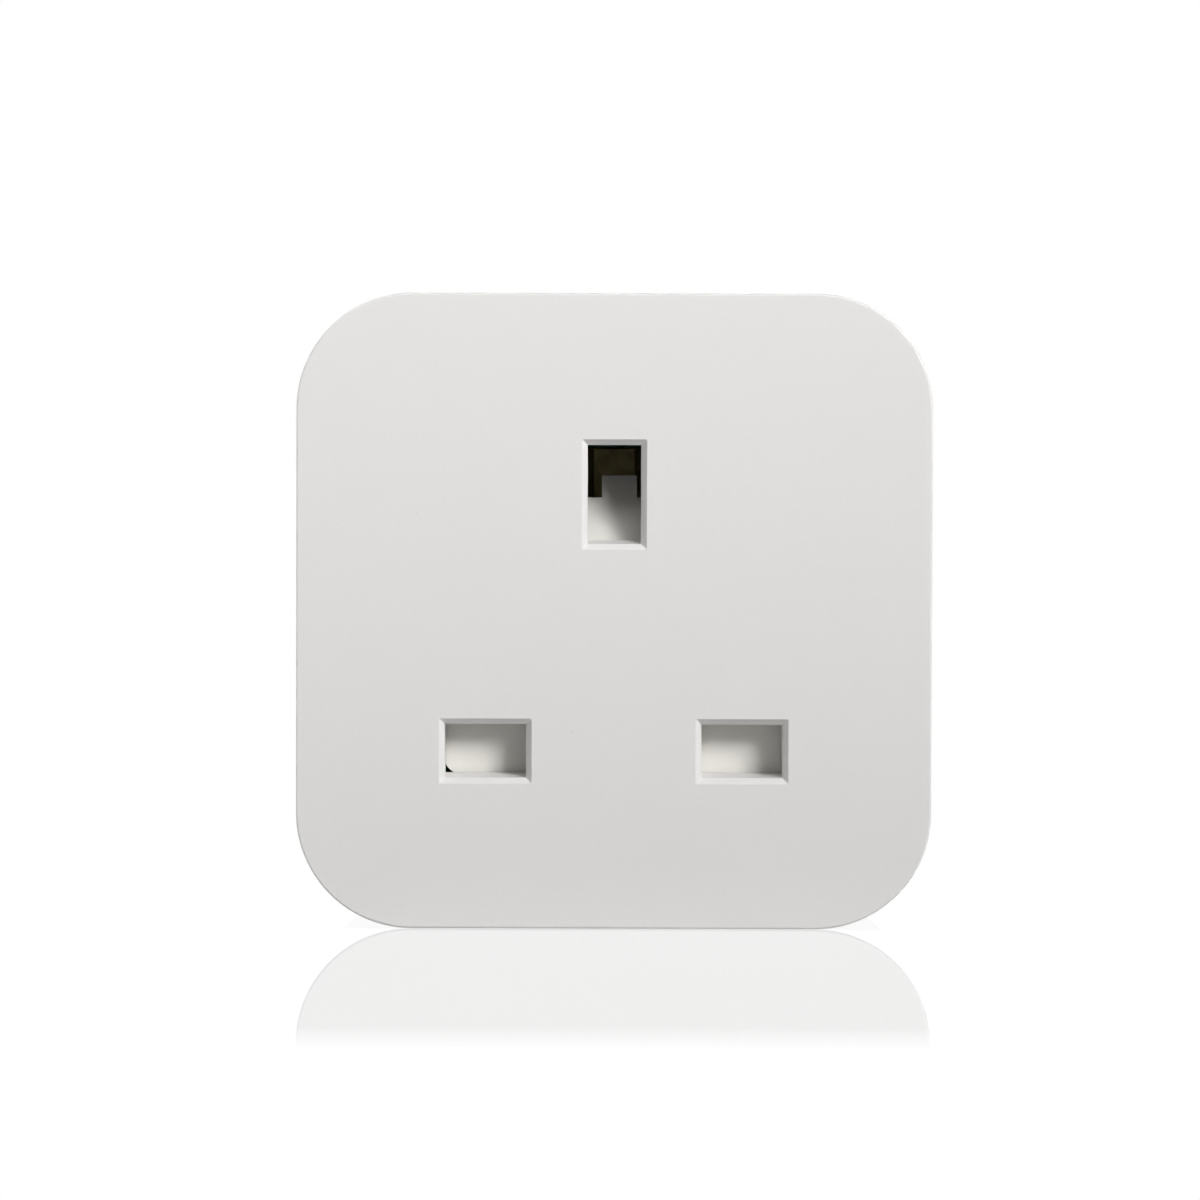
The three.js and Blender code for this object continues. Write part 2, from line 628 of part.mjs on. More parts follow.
const RELAY = { x: [-22.5, -12.5], z: [-4, 16], top: -26.4, baseTop: -12.4, wall: 0.6, middle: -17.5 };
const COIL = { y: -18.6, r: 3.5, flange: 3.9, z: [3.2, 13.2], cheek: 0.6, core: 1.5 };
const HINGE = { y: -13.9, z: 2.2 }; // line about which the armature turns, at its lower edge
const ARMATURE = { z: [1.4, 2.2], y: [-22.6, -13.5], half: 3 };
const POLE_GAP = 0.45;

function relayCover() {
  const inset = ([low, high]) => [low + RELAY.wall, high - RELAY.wall];
  return cut(block(RELAY.x, [RELAY.top, RELAY.baseTop], RELAY.z), [
    block(inset(RELAY.x), [RELAY.top + RELAY.wall, RELAY.baseTop + 1], inset(RELAY.z)),
  ]);
}

function relayBase() {
  return union([block(RELAY.x, [RELAY.baseTop, SEAT], RELAY.z), ...leads("relay_base")]);
}

function relayBobbin() {
  const at = [RELAY.middle, COIL.y];
  const [low, high] = COIL.z;
  const width = 2 * COIL.flange;
  const cheek = (z) => block(about(RELAY.middle, width), about(COIL.y, width), z);
  const whole = union([
    bar("z", COIL.core + 0.6, COIL.z, at, 12),
    cheek([low, low + COIL.cheek]),
    cheek([high - COIL.cheek, high]),
  ]);
  return cut(whole, [bar("z", COIL.core + 0.2, [low - 1, high + 1], at, 12)]);
}

function relayWinding() {
  const at = [RELAY.middle, COIL.y];
  const z = [COIL.z[0] + COIL.cheek + 0.1, COIL.z[1] - COIL.cheek - 0.1];
  return cut(bar("z", COIL.r, z, at, 20), [bar("z", COIL.core + 0.8, [z[0] - 1, z[1] + 1], at, 12)]);
}

// The iron circuit: the core through the coil, the plate behind it and the plate back to the hinge.
function relayYoke() {
  const pole = ARMATURE.z[1] + POLE_GAP;
  const back = [13.4, 14.3];
  const wide = about(RELAY.middle, 7);
  return union([
    bar("z", COIL.core, [pole, back[1]], [RELAY.middle, COIL.y], 12),
    block(wide, [-22.4, -13.4], back),
    block(wide, [-14.4, -13.4], [ARMATURE.z[1] + 0.2, back[1]]),
  ]);
}

function relayArmature() {
  return block(about(RELAY.middle, 2 * ARMATURE.half), ARMATURE.y, ARMATURE.z);
}

const CONTACT_Y = -24.2; // height of the relay's two contact rivets
const CONTACT_FACE = 2.75;
const CONTACT_GAP = 0.75;

function relayContactSpring() {
  const blade = [1.1, 1.4];
  return union([
    block(about(RELAY.middle, 3.4), [-25.2, -15], blade),
    bar("z", 1, [blade[0], CONTACT_FACE], [RELAY.middle, CONTACT_Y], 14),
  ]);
}

function relayFixedContact() {
  const face = CONTACT_FACE + CONTACT_GAP;
  const path = [[-23.2, face + 0.75], [-25.15, face + 0.75], [-25.15, 14.95], [-12.7, 14.95]];
  return plateYZ(strip(path, 0.5), about(RELAY.middle, 3)).add(
    bar("z", 1, [face, face + 0.6], [RELAY.middle, CONTACT_Y], 14),
  );
}

function addRelay() {
  add("relay_cover", relayCover(), BLACK);
  add("relay_base", relayBase(), BLACK);
  add("relay_bobbin", relayBobbin(), WHITE_INNER);
  add("relay_winding", relayWinding(), COPPER);
  add("relay_yoke", relayYoke(), STEEL);
  add("relay_armature", relayArmature(), STEEL);
  add("relay_contact_spring", relayContactSpring(), COPPER);
  add("relay_fixed_contact", relayFixedContact(), COPPER);
}

// ---------- other parts on the power board ----------

const FILM = { x: [18.5, 24.5], y: [-24, SEAT], z: [-4, 9] };
const BULK = { at: [12.5, 12], r: 4, y: [-22.9, SEAT] };
const CORE = { x: [7, 17], y: [-23, -12.4], z: [-5.5, 6] };
const VARISTOR = { x: 21.5, thick: 3.4, y: -16, z: 13.3, r: 4 };
const CHOKE = { at: [9, -21.2], r: 3.2, y: [-18.4, SEAT] };
const FUSE = { x: [-9.6, -2.4], y: -13.4, z: -20.8, r: 1.6 };
const SHUNT = { x: [18.4, 23.6], z: [-15.5, -11.5], top: -13.4, thick: 0.9 };
const CHIP = { x: [-2.6, 2.6], y: [-12.5, SEAT], z: [-14.2, -9.4] };
const RECTIFIER = { x: [-16.4, -12], y: [-13.2, SEAT], z: [-23.4, -19.6] };

function filmCapacitor() {
  return union([block(FILM.x, FILM.y, FILM.z), ...leads("film_capacitor")]);
}

// A can with the crimp groove that its rubber bung leaves.
function bulkCapacitor() {
  const groove = { y: BULK.y[1] - 2, half: 0.5, deep: 0.4 };
  const outline = [
    [0, BULK.y[0]],
    [BULK.r, BULK.y[0]],
    [BULK.r, groove.y - groove.half],
    [BULK.r - groove.deep, groove.y],
    [BULK.r, groove.y + groove.half],
    [BULK.r, BULK.y[1]],
    [0, BULK.y[1]],
  ].map(([u, v]) => new THREE.Vector2(u, v));
  const can = solid(new THREE.LatheGeometry(outline, 16).translate(BULK.at[0], 0, BULK.at[1]));
  return union([can, ...leads("bulk_capacitor")]);
}

// The ferrite frame round the winding, open to the two sides.
function transformerCore() {
  const limb = 1.9;
  const [near, far] = CORE.y;
  const frame = block([8.6, 15.4], [near, far], CORE.z);
  return cut(frame, [block([7, 17], [near + limb, far - limb], [CORE.z[0] + limb, CORE.z[1] - limb])]);
}

function transformerBobbin() {
  const inner = { y: [-20.8, -14.6], z: [-3.3, 3.8] };
  const cheek = 0.9;
  const foot = block(CORE.x, [-12.1, SEAT], CORE.z);
  return {
    bobbin: union([foot, ...leads("transformer")]),
    winding: block([CORE.x[0] + cheek, CORE.x[1] - cheek], inner.y, inner.z),
  };
}

function varistor() {
  const disc = bar("x", VARISTOR.r, about(VARISTOR.x, VARISTOR.thick), [VARISTOR.y, VARISTOR.z], 18);
  return union([disc, ...leads("varistor", VARISTOR.y + 1)]);
}

// A drum core with its winding between two flanges.
function choke() {
  const { at, r, y } = CHOKE;
  const flange = 1;
  const waist = r - 0.7;
  return union([
    bar("y", r, [y[0], y[0] + flange], at, 14),
    bar("y", waist, [y[0] + flange / 2, y[1] - flange / 2], at, 14),
    bar("y", r, [y[1] - flange, y[1]], at, 14),
    ...leads("choke", y[1] - flange / 2),
  ]);
}

function fuseResistor() {
  const [left, right] = LEADS.fuse_resistor.map((at) => at[0]);
  const at = [FUSE.y, FUSE.z];
  return union([
    bar("x", FUSE.r, FUSE.x, at, 16),
    bar("x", LEAD.r, [left - LEAD.r, right + LEAD.r], at, 8),
    ...leads("fuse_resistor", FUSE.y - LEAD.r),
  ]);
}

// A bowed strip of resistance metal that the load current flows through.
function currentShunt() {
  const [left, right] = SHUNT.x;
  const path = [[left, BOARD.front], [left, SHUNT.top], [right, SHUNT.top], [right, BOARD.front]];
  return plateXY(strip(path, SHUNT.thick), SHUNT.z);
}

// A moulded chip with a row of legs along two sides.
function chip({ x, y, z }, count) {
  const pitch = (z[1] - z[0]) / count;
  const leg = { wide: 0.5, thick: 0.3, out: 0.8 };
  const legs = [];
  for (let i = 0; i < count; i += 1) {
    const at = about(z[0] + pitch * (i + 0.5), leg.wide);
    const level = [y[1] - 0.4 - leg.thick, y[1] - 0.4];
    for (const [edge, sign] of [[x[0], -1], [x[1], 1]]) {
      const far = edge + sign * leg.out;
      const across = [Math.min(edge - sign * 0.3, far), Math.max(edge - sign * 0.3, far)];
      const foot = sign > 0 ? [far - leg.thick, far] : [far, far + leg.thick];
      legs.push(block(across, level, at), block(foot, [level[0], BOARD.front], at));
    }
  }
  return union([block(x, y, z), ...legs]);
}

function boardHeader() {
  return union([block([-12, -6.6], [-13.2, SEAT], [15.2, 17.6]), ...leads("board_header")]);
}

function addPowerParts() {
  const { bobbin, winding } = transformerBobbin();
  add("power_board", powerBoard(), GREEN);
  add("film_capacitor", filmCapacitor(), YELLOW);
  add("bulk_capacitor", bulkCapacitor(), BLACK);
  add("transformer_core", transformerCore(), GREY);
  add("transformer_bobbin", bobbin, BLACK);
  add("transformer_winding", winding, AMBER);
  add("varistor", varistor(), BLUE);
  add("choke", choke(), GREY);
  add("fuse_resistor", fuseResistor(), GREEN);
  add("current_shunt", currentShunt(), COPPER);
  add("metering_chip", chip(CHIP, 4), BLACK);
  add("bridge_rectifier", chip(RECTIFIER, 2), BLACK);
  add("board_header", boardHeader(), BLACK);
}

// ---------- control board, switch, button and light ----------

const CONTROL = { x: [-16, 16], y: [-32, -12.9], z: [17.8, 18.8] };
const SHEET_Z = [17.25, 17.55];
const SHIELD = { x: [-14.6, -5], y: [-31, -19.4], z: [19, 21.2], wall: 0.3 };
const SWITCH = { half: 3, z: [18.9, 22.3], well: 19.6, wellR: 1.8 };
const PLUNGER = { r: 1.6, z: [20, 23] };
const CAP = { top: 27.4, flangeTop: 25.1, flange: 24.3, rim: 1, stem: 1.5, stemEnd: 23.3 };
const LED = { half: 0.9, z: [18.9, 20.4] };
const PIPE = { z: [20.8, 27.45], rim: 1.9, rimZ: [24.4, 25.2] };
const ANTENNA = { x: 5.2, y: -30.8, pitch: 1.5, turns: 3, long: 3.4, wire: 0.6, z: [18.9, 19.3] };

function controlBoard() {
  return block(CONTROL.x, CONTROL.y, CONTROL.z);
}

function insulatingSheet() {
  return block([-15, 15], [CONTROL.y[0], -14], SHEET_Z);
}

function radioShield() {
  const inset = ([low, high]) => [low + SHIELD.wall, high - SHIELD.wall];
  return cut(block(SHIELD.x, SHIELD.y, SHIELD.z), [
    block(inset(SHIELD.x), inset(SHIELD.y), [SHIELD.z[0] - 1, SHIELD.z[1] - SHIELD.wall]),
  ]);
}

// A flat zigzag strip.
function antenna() {
  const { x, y, pitch, turns, long, wire, z } = ANTENNA;
  const path = [];
  for (let i = 0; i < turns; i += 1) {
    const at = x + 2 * pitch * i;
    path.push([at, y], [at, y + long], [at + pitch, y + long], [at + pitch, y]);
  }
  return plateXY(strip(path, wire), z);
}

function tactSwitch() {
  const at = [0, BUTTON.y];
  return cut(block(about(0, 2 * SWITCH.half), about(BUTTON.y, 2 * SWITCH.half), SWITCH.z), [
    bar("z", SWITCH.wellR, [SWITCH.well, SWITCH.z[1] + 1], at, 14),
  ]);
}

function buttonCap() {
  const rim = 2 * CAP.rim;
  return union([
    plateXY(stadium(BUTTON.long, BUTTON.wide, 0, BUTTON.y), [CAP.flange, CAP.top], 6),
    plateXY(stadium(BUTTON.long + rim, BUTTON.wide + rim, 0, BUTTON.y), [CAP.flange, CAP.flangeTop], 5),
    bar("z", CAP.stem, [CAP.stemEnd, CAP.flange + 0.2], [0, BUTTON.y], 10),
  ]);
}

function lightPipe() {
  const at = [LIGHT.x, LIGHT.y];
  return bar("z", LIGHT.r, PIPE.z, at, 14).add(bar("z", PIPE.rim, PIPE.rimZ, at, 14));
}

function addControls() {
  const led = about(LIGHT.x, 2 * LED.half);
  add("control_board", controlBoard(), GREEN);
  add("insulating_sheet", insulatingSheet(), AMBER);
  add("radio_shield", radioShield(), STEEL);
  add("antenna", antenna(), COPPER);
  add("tact_switch_body", tactSwitch(), BLACK);
  add("switch_plunger", bar("z", PLUNGER.r, PLUNGER.z, [0, BUTTON.y], 14), GREY);
  add("status_led", block(led, about(LIGHT.y, 2 * LED.half), LED.z), CLEAR);
  add("light_pipe", lightPipe(), CLEAR);
  add("button_cap", buttonCap(), WHITE);
}

add("front_housing", frontHousing(), WHITE);
add("rear_housing", rearHousing(), WHITE);
addScrews();
addPins();
addContacts();
addSocket();
addRelay();
addPowerParts();
addControls();

export default group;
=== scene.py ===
"""Plug-in power meter: the visible pieces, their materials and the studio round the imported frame.

Metres, +Z up, the front face towards -Y, the pins along +Y, and the rear face in the plane y = 0.
"""

import json
import math

import bmesh
import bpy
from mathutils import Matrix, Vector


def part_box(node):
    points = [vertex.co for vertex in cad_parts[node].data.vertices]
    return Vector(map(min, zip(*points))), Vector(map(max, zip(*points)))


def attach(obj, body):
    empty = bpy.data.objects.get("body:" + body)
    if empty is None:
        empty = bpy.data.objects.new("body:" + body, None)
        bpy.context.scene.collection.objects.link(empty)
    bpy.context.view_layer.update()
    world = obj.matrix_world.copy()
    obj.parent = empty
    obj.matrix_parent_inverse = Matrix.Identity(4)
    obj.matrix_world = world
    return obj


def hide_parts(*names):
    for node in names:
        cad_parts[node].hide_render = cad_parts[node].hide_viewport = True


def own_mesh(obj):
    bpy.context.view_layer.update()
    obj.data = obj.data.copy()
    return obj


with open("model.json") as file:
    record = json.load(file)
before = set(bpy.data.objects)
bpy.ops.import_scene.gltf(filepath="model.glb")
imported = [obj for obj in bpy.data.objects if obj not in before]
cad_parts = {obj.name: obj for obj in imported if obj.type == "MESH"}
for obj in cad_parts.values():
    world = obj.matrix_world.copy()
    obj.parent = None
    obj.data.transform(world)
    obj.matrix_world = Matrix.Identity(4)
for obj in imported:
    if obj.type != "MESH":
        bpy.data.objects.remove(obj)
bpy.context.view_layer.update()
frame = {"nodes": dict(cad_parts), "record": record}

MM = 0.001


# ---------- dimensions, worked out from the frame ----------

def span(node, axis):
    """The lowest and highest value of a CAD node along an axis."""
    low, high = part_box(node)
    return low[axis], high[axis]


X, Y, Z = 0, 1, 2
FRONT, SPLIT = span("front_housing", Y)
REAR_START = SPLIT + 0.3 * MM
HALF = span("front_housing", X)[1]
CORNER = 10 * MM
WALL = 2.2 * MM
FACE_BACK = FRONT + 2.4 * MM
PLATE = 2.8 * MM
FLOOR_Z = span("front_housing", Z)[0]
CORNER_STEPS = 28

LINE_SLOT = (7.03 * MM, 4.64 * MM)
EARTH_SLOT = (4.63 * MM, 8.55 * MM)
SLOT_BEVEL = 0.5 * MM
COLLAR_END = FRONT + 3.8 * MM
COLLAR_WALL = 0.9 * MM
DRAFT = 0.25 * MM


def centre(node):
    """The middle of a CAD node's box."""
    low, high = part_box(node)
    return (Vector(low) + Vector(high)) / 2


POLES = {
    name: (centre(f"{name}_pin_sleeve" if name != "earth" else "earth_pin"), size)
    for name, size in (("neutral", LINE_SLOT), ("live", LINE_SLOT), ("earth", EARTH_SLOT))
}


# ---------- camera, lights and stage ----------

CAMERA = {"distance": 0.55, "elevation": 2.0, "roll": 0.17, "lens": 190.8}
AIM = Vector((-1.22 * MM, FRONT, 1.0 * MM))

# How bright the world is as a light.
FILL = 0.04
# The floor's mirror image: its share close by, how far from the front face it starts to fade and is gone,
# and how much of the share is left under the object.
REFLECT = {"share": 0.38, "full": 0.083, "gone": 0.0985, "under": 0.2}
# The floor as a light: its brightness near the object and far from it.
BOUNCE = {"near": 0.03, "dim": 0.15, "far": 0.14, "bright": 0.6}
# The brighter strip of floor at the foot of the front face.
STRIP = {"full": 0.004, "gone": 0.010, "bright": 0.38}
FLOOR_REACH = 3.0
FLOOR_GAP = 0.02 * MM  # between the floor and the object's lower side
CARD_BACK = 0.35 * MM  # how far the card stands behind the front face


def add_camera():
    """A long lens a little above level, rolled slightly."""
    data = bpy.data.cameras.new("camera")
    data.lens = CAMERA["lens"]
    data.sensor_width = 36
    data.clip_start = 0.01
    camera = bpy.data.objects.new("camera", data)
    tilt = math.radians(CAMERA["elevation"])
    back = Vector((0, -math.cos(tilt), math.sin(tilt)))
    pitch = Matrix.Rotation(math.pi / 2 - tilt, 4, "X")
    roll = Matrix.Rotation(math.radians(CAMERA["roll"]), 4, "Z")
    camera.matrix_world = Matrix.Translation(AIM + back * CAMERA["distance"]) @ pitch @ roll
    bpy.context.collection.objects.link(camera)
    bpy.context.scene.camera = camera


def area_light(name, place, aim, size, power, spread=math.pi, mirrored=True):
    """A light at place that points at aim. Mirror images show it only if mirrored."""
    data = bpy.data.lights.new(name, "AREA")
    data.spread = spread
    data.shape = "RECTANGLE"
    data.size, data.size_y = size
    data.energy = power
    light = bpy.data.objects.new(name, data)
    light.location = place
    light.rotation_euler = (Vector(aim) - Vector(place)).to_track_quat("-Z", "Y").to_euler()
    light.visible_camera = False
    light.visible_glossy = mirrored
    bpy.context.collection.objects.link(light)


def add_world():
    """White for the camera and for mirror reflections, and dimmer as a light."""
    world = bpy.data.worlds.new("studio")
    world.use_nodes = True
    nodes, links = world.node_tree.nodes, world.node_tree.links
    nodes.clear()
    out = nodes.new("ShaderNodeOutputWorld")
    mix = nodes.new("ShaderNodeMixShader")
    fill = nodes.new("ShaderNodeBackground")
    white = nodes.new("ShaderNodeBackground")
    path = nodes.new("ShaderNodeLightPath")
    white.inputs["Strength"].default_value = 1.0
    white.inputs["Color"].default_value = (1, 1, 1, 1)
    fill.inputs["Strength"].default_value = FILL
    fill.inputs["Color"].default_value = (0.97, 0.985, 1, 1)
    links.new(path.outputs["Is Diffuse Ray"], mix.inputs["Fac"])
    links.new(white.outputs[0], mix.inputs[1])
    links.new(fill.outputs[0], mix.inputs[2])
    links.new(mix.outputs[0], out.inputs["Surface"])
    bpy.context.scene.world = world


def maths(tree, operation, first, second=0.0):
    """A maths node on two values, each a socket or a number."""
    made = tree.nodes.new("ShaderNodeMath")
    made.operation = operation
    for slot, value in zip(made.inputs, (first, second)):
        if isinstance(value, float):
            slot.default_value = value
        else:
            tree.links.new(value, slot)
    return made.outputs[0]


def ramp(tree, value, start, end):
    """A value that goes from one (where, result) pair to another, and stays level beyond them."""
    made = tree.nodes.new("ShaderNodeMapRange")
    made.inputs["From Min"].default_value, made.inputs["To Min"].default_value = start
    made.inputs["From Max"].default_value, made.inputs["To Max"].default_value = end
    tree.links.new(value, made.inputs["Value"])
    return made.outputs[0]


def stage_face(name, corners):
    """A flat face of the studio. Returns it and the empty node tree of its material."""
    mesh = bpy.data.meshes.new(name)
    mesh.from_pydata(corners, [], [(0, 1, 2, 3)])
    face = bpy.data.objects.new(name, mesh)
    bpy.context.collection.objects.link(face)
    material = bpy.data.materials.new(name)
    material.use_nodes = True
    material.node_tree.nodes.clear()
    mesh.materials.append(material)
    return face, material.node_tree


def white_glow(tree):
    made = tree.nodes.new("ShaderNodeEmission")
    made.inputs["Color"].default_value = (1, 1, 1, 1)
    return made.outputs[0]


def add_floor():
    """A white floor that mirrors the object faintly and only close in front of it.

    As a light it is a matt card, dim near the object except for a strip at the foot of the front face.
    """
    far = FLOOR_REACH
    floor, tree = stage_face("floor", [(-far, -far, 0), (far, -far, 0), (far, far, 0), (-far, far, 0)])
    floor.location.z = FLOOR_Z - FLOOR_GAP
    nodes, links = tree.nodes, tree.links
    out = nodes.new("ShaderNodeOutputMaterial")
    place = nodes.new("ShaderNodeTexCoord")
    split = nodes.new("ShaderNodeSeparateXYZ")
    links.new(place.outputs["Object"], split.inputs[0])
    across, along = split.outputs["X"], split.outputs["Y"]

    # The floor right under the object's round corners mirrors less.
    under = maths(tree, "LESS_THAN", maths(tree, "ABSOLUTE", across), HALF)
    under = maths(tree, "MULTIPLY", under, maths(tree, "GREATER_THAN", along, FRONT))
    under = maths(tree, "MULTIPLY", under, maths(tree, "LESS_THAN", along, 0.0))
    fade_end, fade_start = FRONT - REFLECT["gone"], FRONT - REFLECT["full"]
    share = ramp(tree, along, (fade_end, 0.0), (fade_start, REFLECT["share"]))
    share = maths(tree, "MULTIPLY", share, ramp(tree, under, (0.0, 1.0), (1.0, REFLECT["under"])))
    mirror = nodes.new("ShaderNodeBsdfGlossy")
    mirror.inputs["Roughness"].default_value = 0.01
    mirror.inputs["Color"].default_value = (1, 1, 1, 1)
    seen = nodes.new("ShaderNodeMixShader")
    links.new(share, seen.inputs["Fac"])
    links.new(white_glow(tree), seen.inputs[1])
    links.new(mirror.outputs[0], seen.inputs[2])

    reach = nodes.new("ShaderNodeVectorMath")
    reach.operation = "DISTANCE"
    reach.inputs[1].default_value = (0, FRONT / 2, 0)
    links.new(place.outputs["Object"], reach.inputs[0])
    near, distant = (BOUNCE["near"], BOUNCE["dim"]), (BOUNCE["far"], BOUNCE["bright"])
    card = ramp(tree, reach.outputs["Value"], near, distant)
    strip = ramp(tree, along, (FRONT - STRIP["gone"], 0.0), (FRONT - STRIP["full"], STRIP["bright"]))
    matt = nodes.new("ShaderNodeBsdfDiffuse")
    links.new(maths(tree, "MAXIMUM", card, strip), matt.inputs["Color"])

    path = nodes.new("ShaderNodeLightPath")
    both = nodes.new("ShaderNodeMixShader")
    links.new(path.outputs["Is Diffuse Ray"], both.inputs["Fac"])
    links.new(seen.outputs[0], both.inputs[1])
    links.new(matt.outputs[0], both.inputs[2])
    links.new(both.outputs[0], out.inputs["Surface"])


def add_card():
    """A white card just behind the front face, which only mirror images show.

    In the floor it hides the dark underside of the object's round corners.
    """
    y, top = FRONT + CARD_BACK, FLOOR_Z + CORNER / 2
    corners = [(-HALF, y, FLOOR_Z), (HALF, y, FLOOR_Z), (HALF, y, top), (-HALF, y, top)]
    card, tree = stage_face("card", corners)
    out = tree.nodes.new("ShaderNodeOutputMaterial")
    tree.links.new(white_glow(tree), out.inputs["Surface"])
    card.visible_camera = False
    card.visible_diffuse = False
    card.visible_transmission = False
    card.visible_shadow = False


def add_studio():
    add_camera()
    add_world()
    add_floor()
    add_card()
    middle = (0, FRONT / 2, 0)
    area_light("key", (0.53, -0.76, 0.51), (0.0, FRONT, 0.11), (0.46, 0.46), 0.73, math.radians(36))
    area_light("top", (0.0, FRONT - 0.10, HALF + 0.115), (0, FRONT, 0.01), (0.10, 0.05), 0.046)
    area_light("rim_left", (-0.58, 0.0, 0.02), middle, (0.16, 0.40), 2.6, mirrored=False)
    area_light("back", (0.12, 0.75, 0.10), middle, (0.50, 0.50), 3.2, mirrored=False)
    scene = bpy.context.scene
    scene.view_settings.view_transform = "Standard"
    scene.view_settings.look = "None"


# ---------- materials ----------

def new_material(name, colour, roughness, metallic=0.0):
    """A principled material, with its tree and shader."""
    material = bpy.data.materials.new(name)
    material.use_nodes = True
    tree = material.node_tree
    shader = tree.nodes["Principled BSDF"]
    shader.inputs["Base Color"].default_value = (*colour, 1)
    shader.inputs["Roughness"].default_value = roughness
    shader.inputs["Metallic"].default_value = metallic
    return material, tree, shader


def coordinates(tree, scale=(1, 1, 1)):
    """Object coordinates, stretched where the scale is less than 1."""
    place = tree.nodes.new("ShaderNodeTexCoord")
    mapping = tree.nodes.new("ShaderNodeMapping")
    mapping.inputs["Scale"].default_value = scale
    tree.links.new(place.outputs["Object"], mapping.inputs["Vector"])
    return mapping.outputs["Vector"]


def noise(tree, where, size, detail=2.0, rough=0.5):
    """Noise whose features are about size metres across."""
    made = tree.nodes.new("ShaderNodeTexNoise")
    made.inputs["Scale"].default_value = 1 / size
    made.inputs["Detail"].default_value = detail
    made.inputs["Roughness"].default_value = rough
    tree.links.new(where, made.inputs["Vector"])
    return made.outputs["Fac"]


def spread(tree, value, low, high, start=0.3, end=0.7):
    """A value mapped from start..end to low..high."""
    return ramp(tree, value, (start, low), (end, high))


def mixed(tree, factor, first, second):
    """A colour between two, each a colour or a socket, by a factor socket."""
    made = tree.nodes.new("ShaderNodeMix")
    made.data_type = "RGBA"
    tree.links.new(factor, made.inputs[0])
    for socket, value in ((made.inputs[6], first), (made.inputs[7], second)):
        if isinstance(value, tuple):
            socket.default_value = (*value, 1)
        else:
            tree.links.new(value, socket)
    return made.outputs[2]


def bump(tree, shader, height, depth, strength=1.0, below=None):
    """Surface relief of a height socket, depth metres tall."""
    made = tree.nodes.new("ShaderNodeBump")
    made.inputs["Strength"].default_value = strength
    made.inputs["Distance"].default_value = depth
    tree.links.new(height, made.inputs["Height"])
    if below is not None:
        tree.links.new(below, made.inputs["Normal"])
    tree.links.new(made.outputs["Normal"], shader.inputs["Normal"])
    return made.outputs["Normal"]


def moulded(name, colour, roughness, grain=0.18 * MM, relief=0.012 * MM, mottle=0.03, specks=True):
    """Moulded plastic: spark-eroded grain, slight mottling, and a few dark specks."""
    material, tree, shader = new_material(name, colour, roughness)
    where = coordinates(tree)
    fine = noise(tree, where, grain, 3, 0.6)
    cloud = noise(tree, where, 6 * MM, 3)
    darker = tuple(c * (1 - mottle) for c in colour)
    tone = mixed(tree, spread(tree, fine, 0, 1, 0.25, 0.75), darker, colour)
    tone = mixed(tree, spread(tree, cloud, 0, 0.35), tone, darker)
    if specks:
        dots = tree.nodes.new("ShaderNodeTexVoronoi")
        dots.inputs["Scale"].default_value = 1 / (5.5 * MM)
        tree.links.new(where, dots.inputs["Vector"])
        inside = spread(tree, dots.outputs["Distance"], 0.55, 0, 0.008, 0.016)
        tone = mixed(tree, inside, tone, tuple(c * 0.55 for c in colour))
    tree.links.new(tone, shader.inputs["Base Color"])
    tree.links.new(spread(tree, fine, roughness - 0.05, roughness + 0.07), shader.inputs["Roughness"])
    coarse = bump(tree, shader, cloud, 0.02 * MM, 0.3)
    bump(tree, shader, fine, relief, 1.0, coarse)
    return material


def metal(name, colour, roughness, dark, brushed=(1, 1, 1), wear=0.5):
    """Rolled or drawn metal: fine lines along one axis and patches of dulled surface."""
    material, tree, shader = new_material(name, colour, roughness, 1.0)
    lines = noise(tree, coordinates(tree, brushed), 0.12 * MM, 3, 0.6)
    patches = noise(tree, coordinates(tree), 1.6 * MM, 4, 0.6)
    tone = mixed(tree, spread(tree, patches, 0, wear, 0.35, 0.7), colour, dark)
    tree.links.new(tone, shader.inputs["Base Color"])
    tree.links.new(spread(tree, lines, roughness - 0.06, roughness + 0.16), shader.inputs["Roughness"])
    bump(tree, shader, lines, 0.004 * MM)
    return material


def board_material(name):
    """Solder mask over copper tracks: tracks and pads show as slightly lighter, raised bands."""
    material, tree, shader = new_material(name, (0.012, 0.10, 0.045), 0.3)
    where = coordinates(tree)
    cells = tree.nodes.new("ShaderNodeTexVoronoi")
    cells.feature = "DISTANCE_TO_EDGE"
    cells.distance = "MANHATTAN"
    cells.inputs["Scale"].default_value = 1 / (3.2 * MM)
    tree.links.new(where, cells.inputs["Vector"])
    track = spread(tree, cells.outputs["Distance"], 1, 0, 0.10, 0.13)
    tone = mixed(tree, track, (0.012, 0.085, 0.04), (0.02, 0.17, 0.075))
    tree.links.new(tone, shader.inputs["Base Color"])
    bump(tree, shader, track, 0.035 * MM, 0.7)
    return material


def winding_material(name, colour, axis, pitch):
    """Enamelled wire laid side by side across an axis, with painted shade in the groove between turns."""
    material, tree, shader = new_material(name, colour, 0.28, 0.85)
    wave = tree.nodes.new("ShaderNodeTexWave")
    wave.bands_direction = axis
    wave.inputs["Scale"].default_value = math.pi / 10 / pitch
    wave.inputs["Distortion"].default_value = 0.25
    wave.inputs["Detail"].default_value = 1
    wave.inputs["Detail Scale"].default_value = 2
    tree.links.new(coordinates(tree), wave.inputs["Vector"])
    crest = wave.outputs["Fac"]
    # painted shade: the colour falls to a quarter of the wire's where the wave is low, in the grooves
    # between turns
    dark = tuple(c * 0.25 for c in colour)
    tone = mixed(tree, spread(tree, crest, 0, 1, 0.05, 0.6), dark, colour)
    tree.links.new(tone, shader.inputs["Base Color"])
    bump(tree, shader, crest, pitch / 3)
    return material


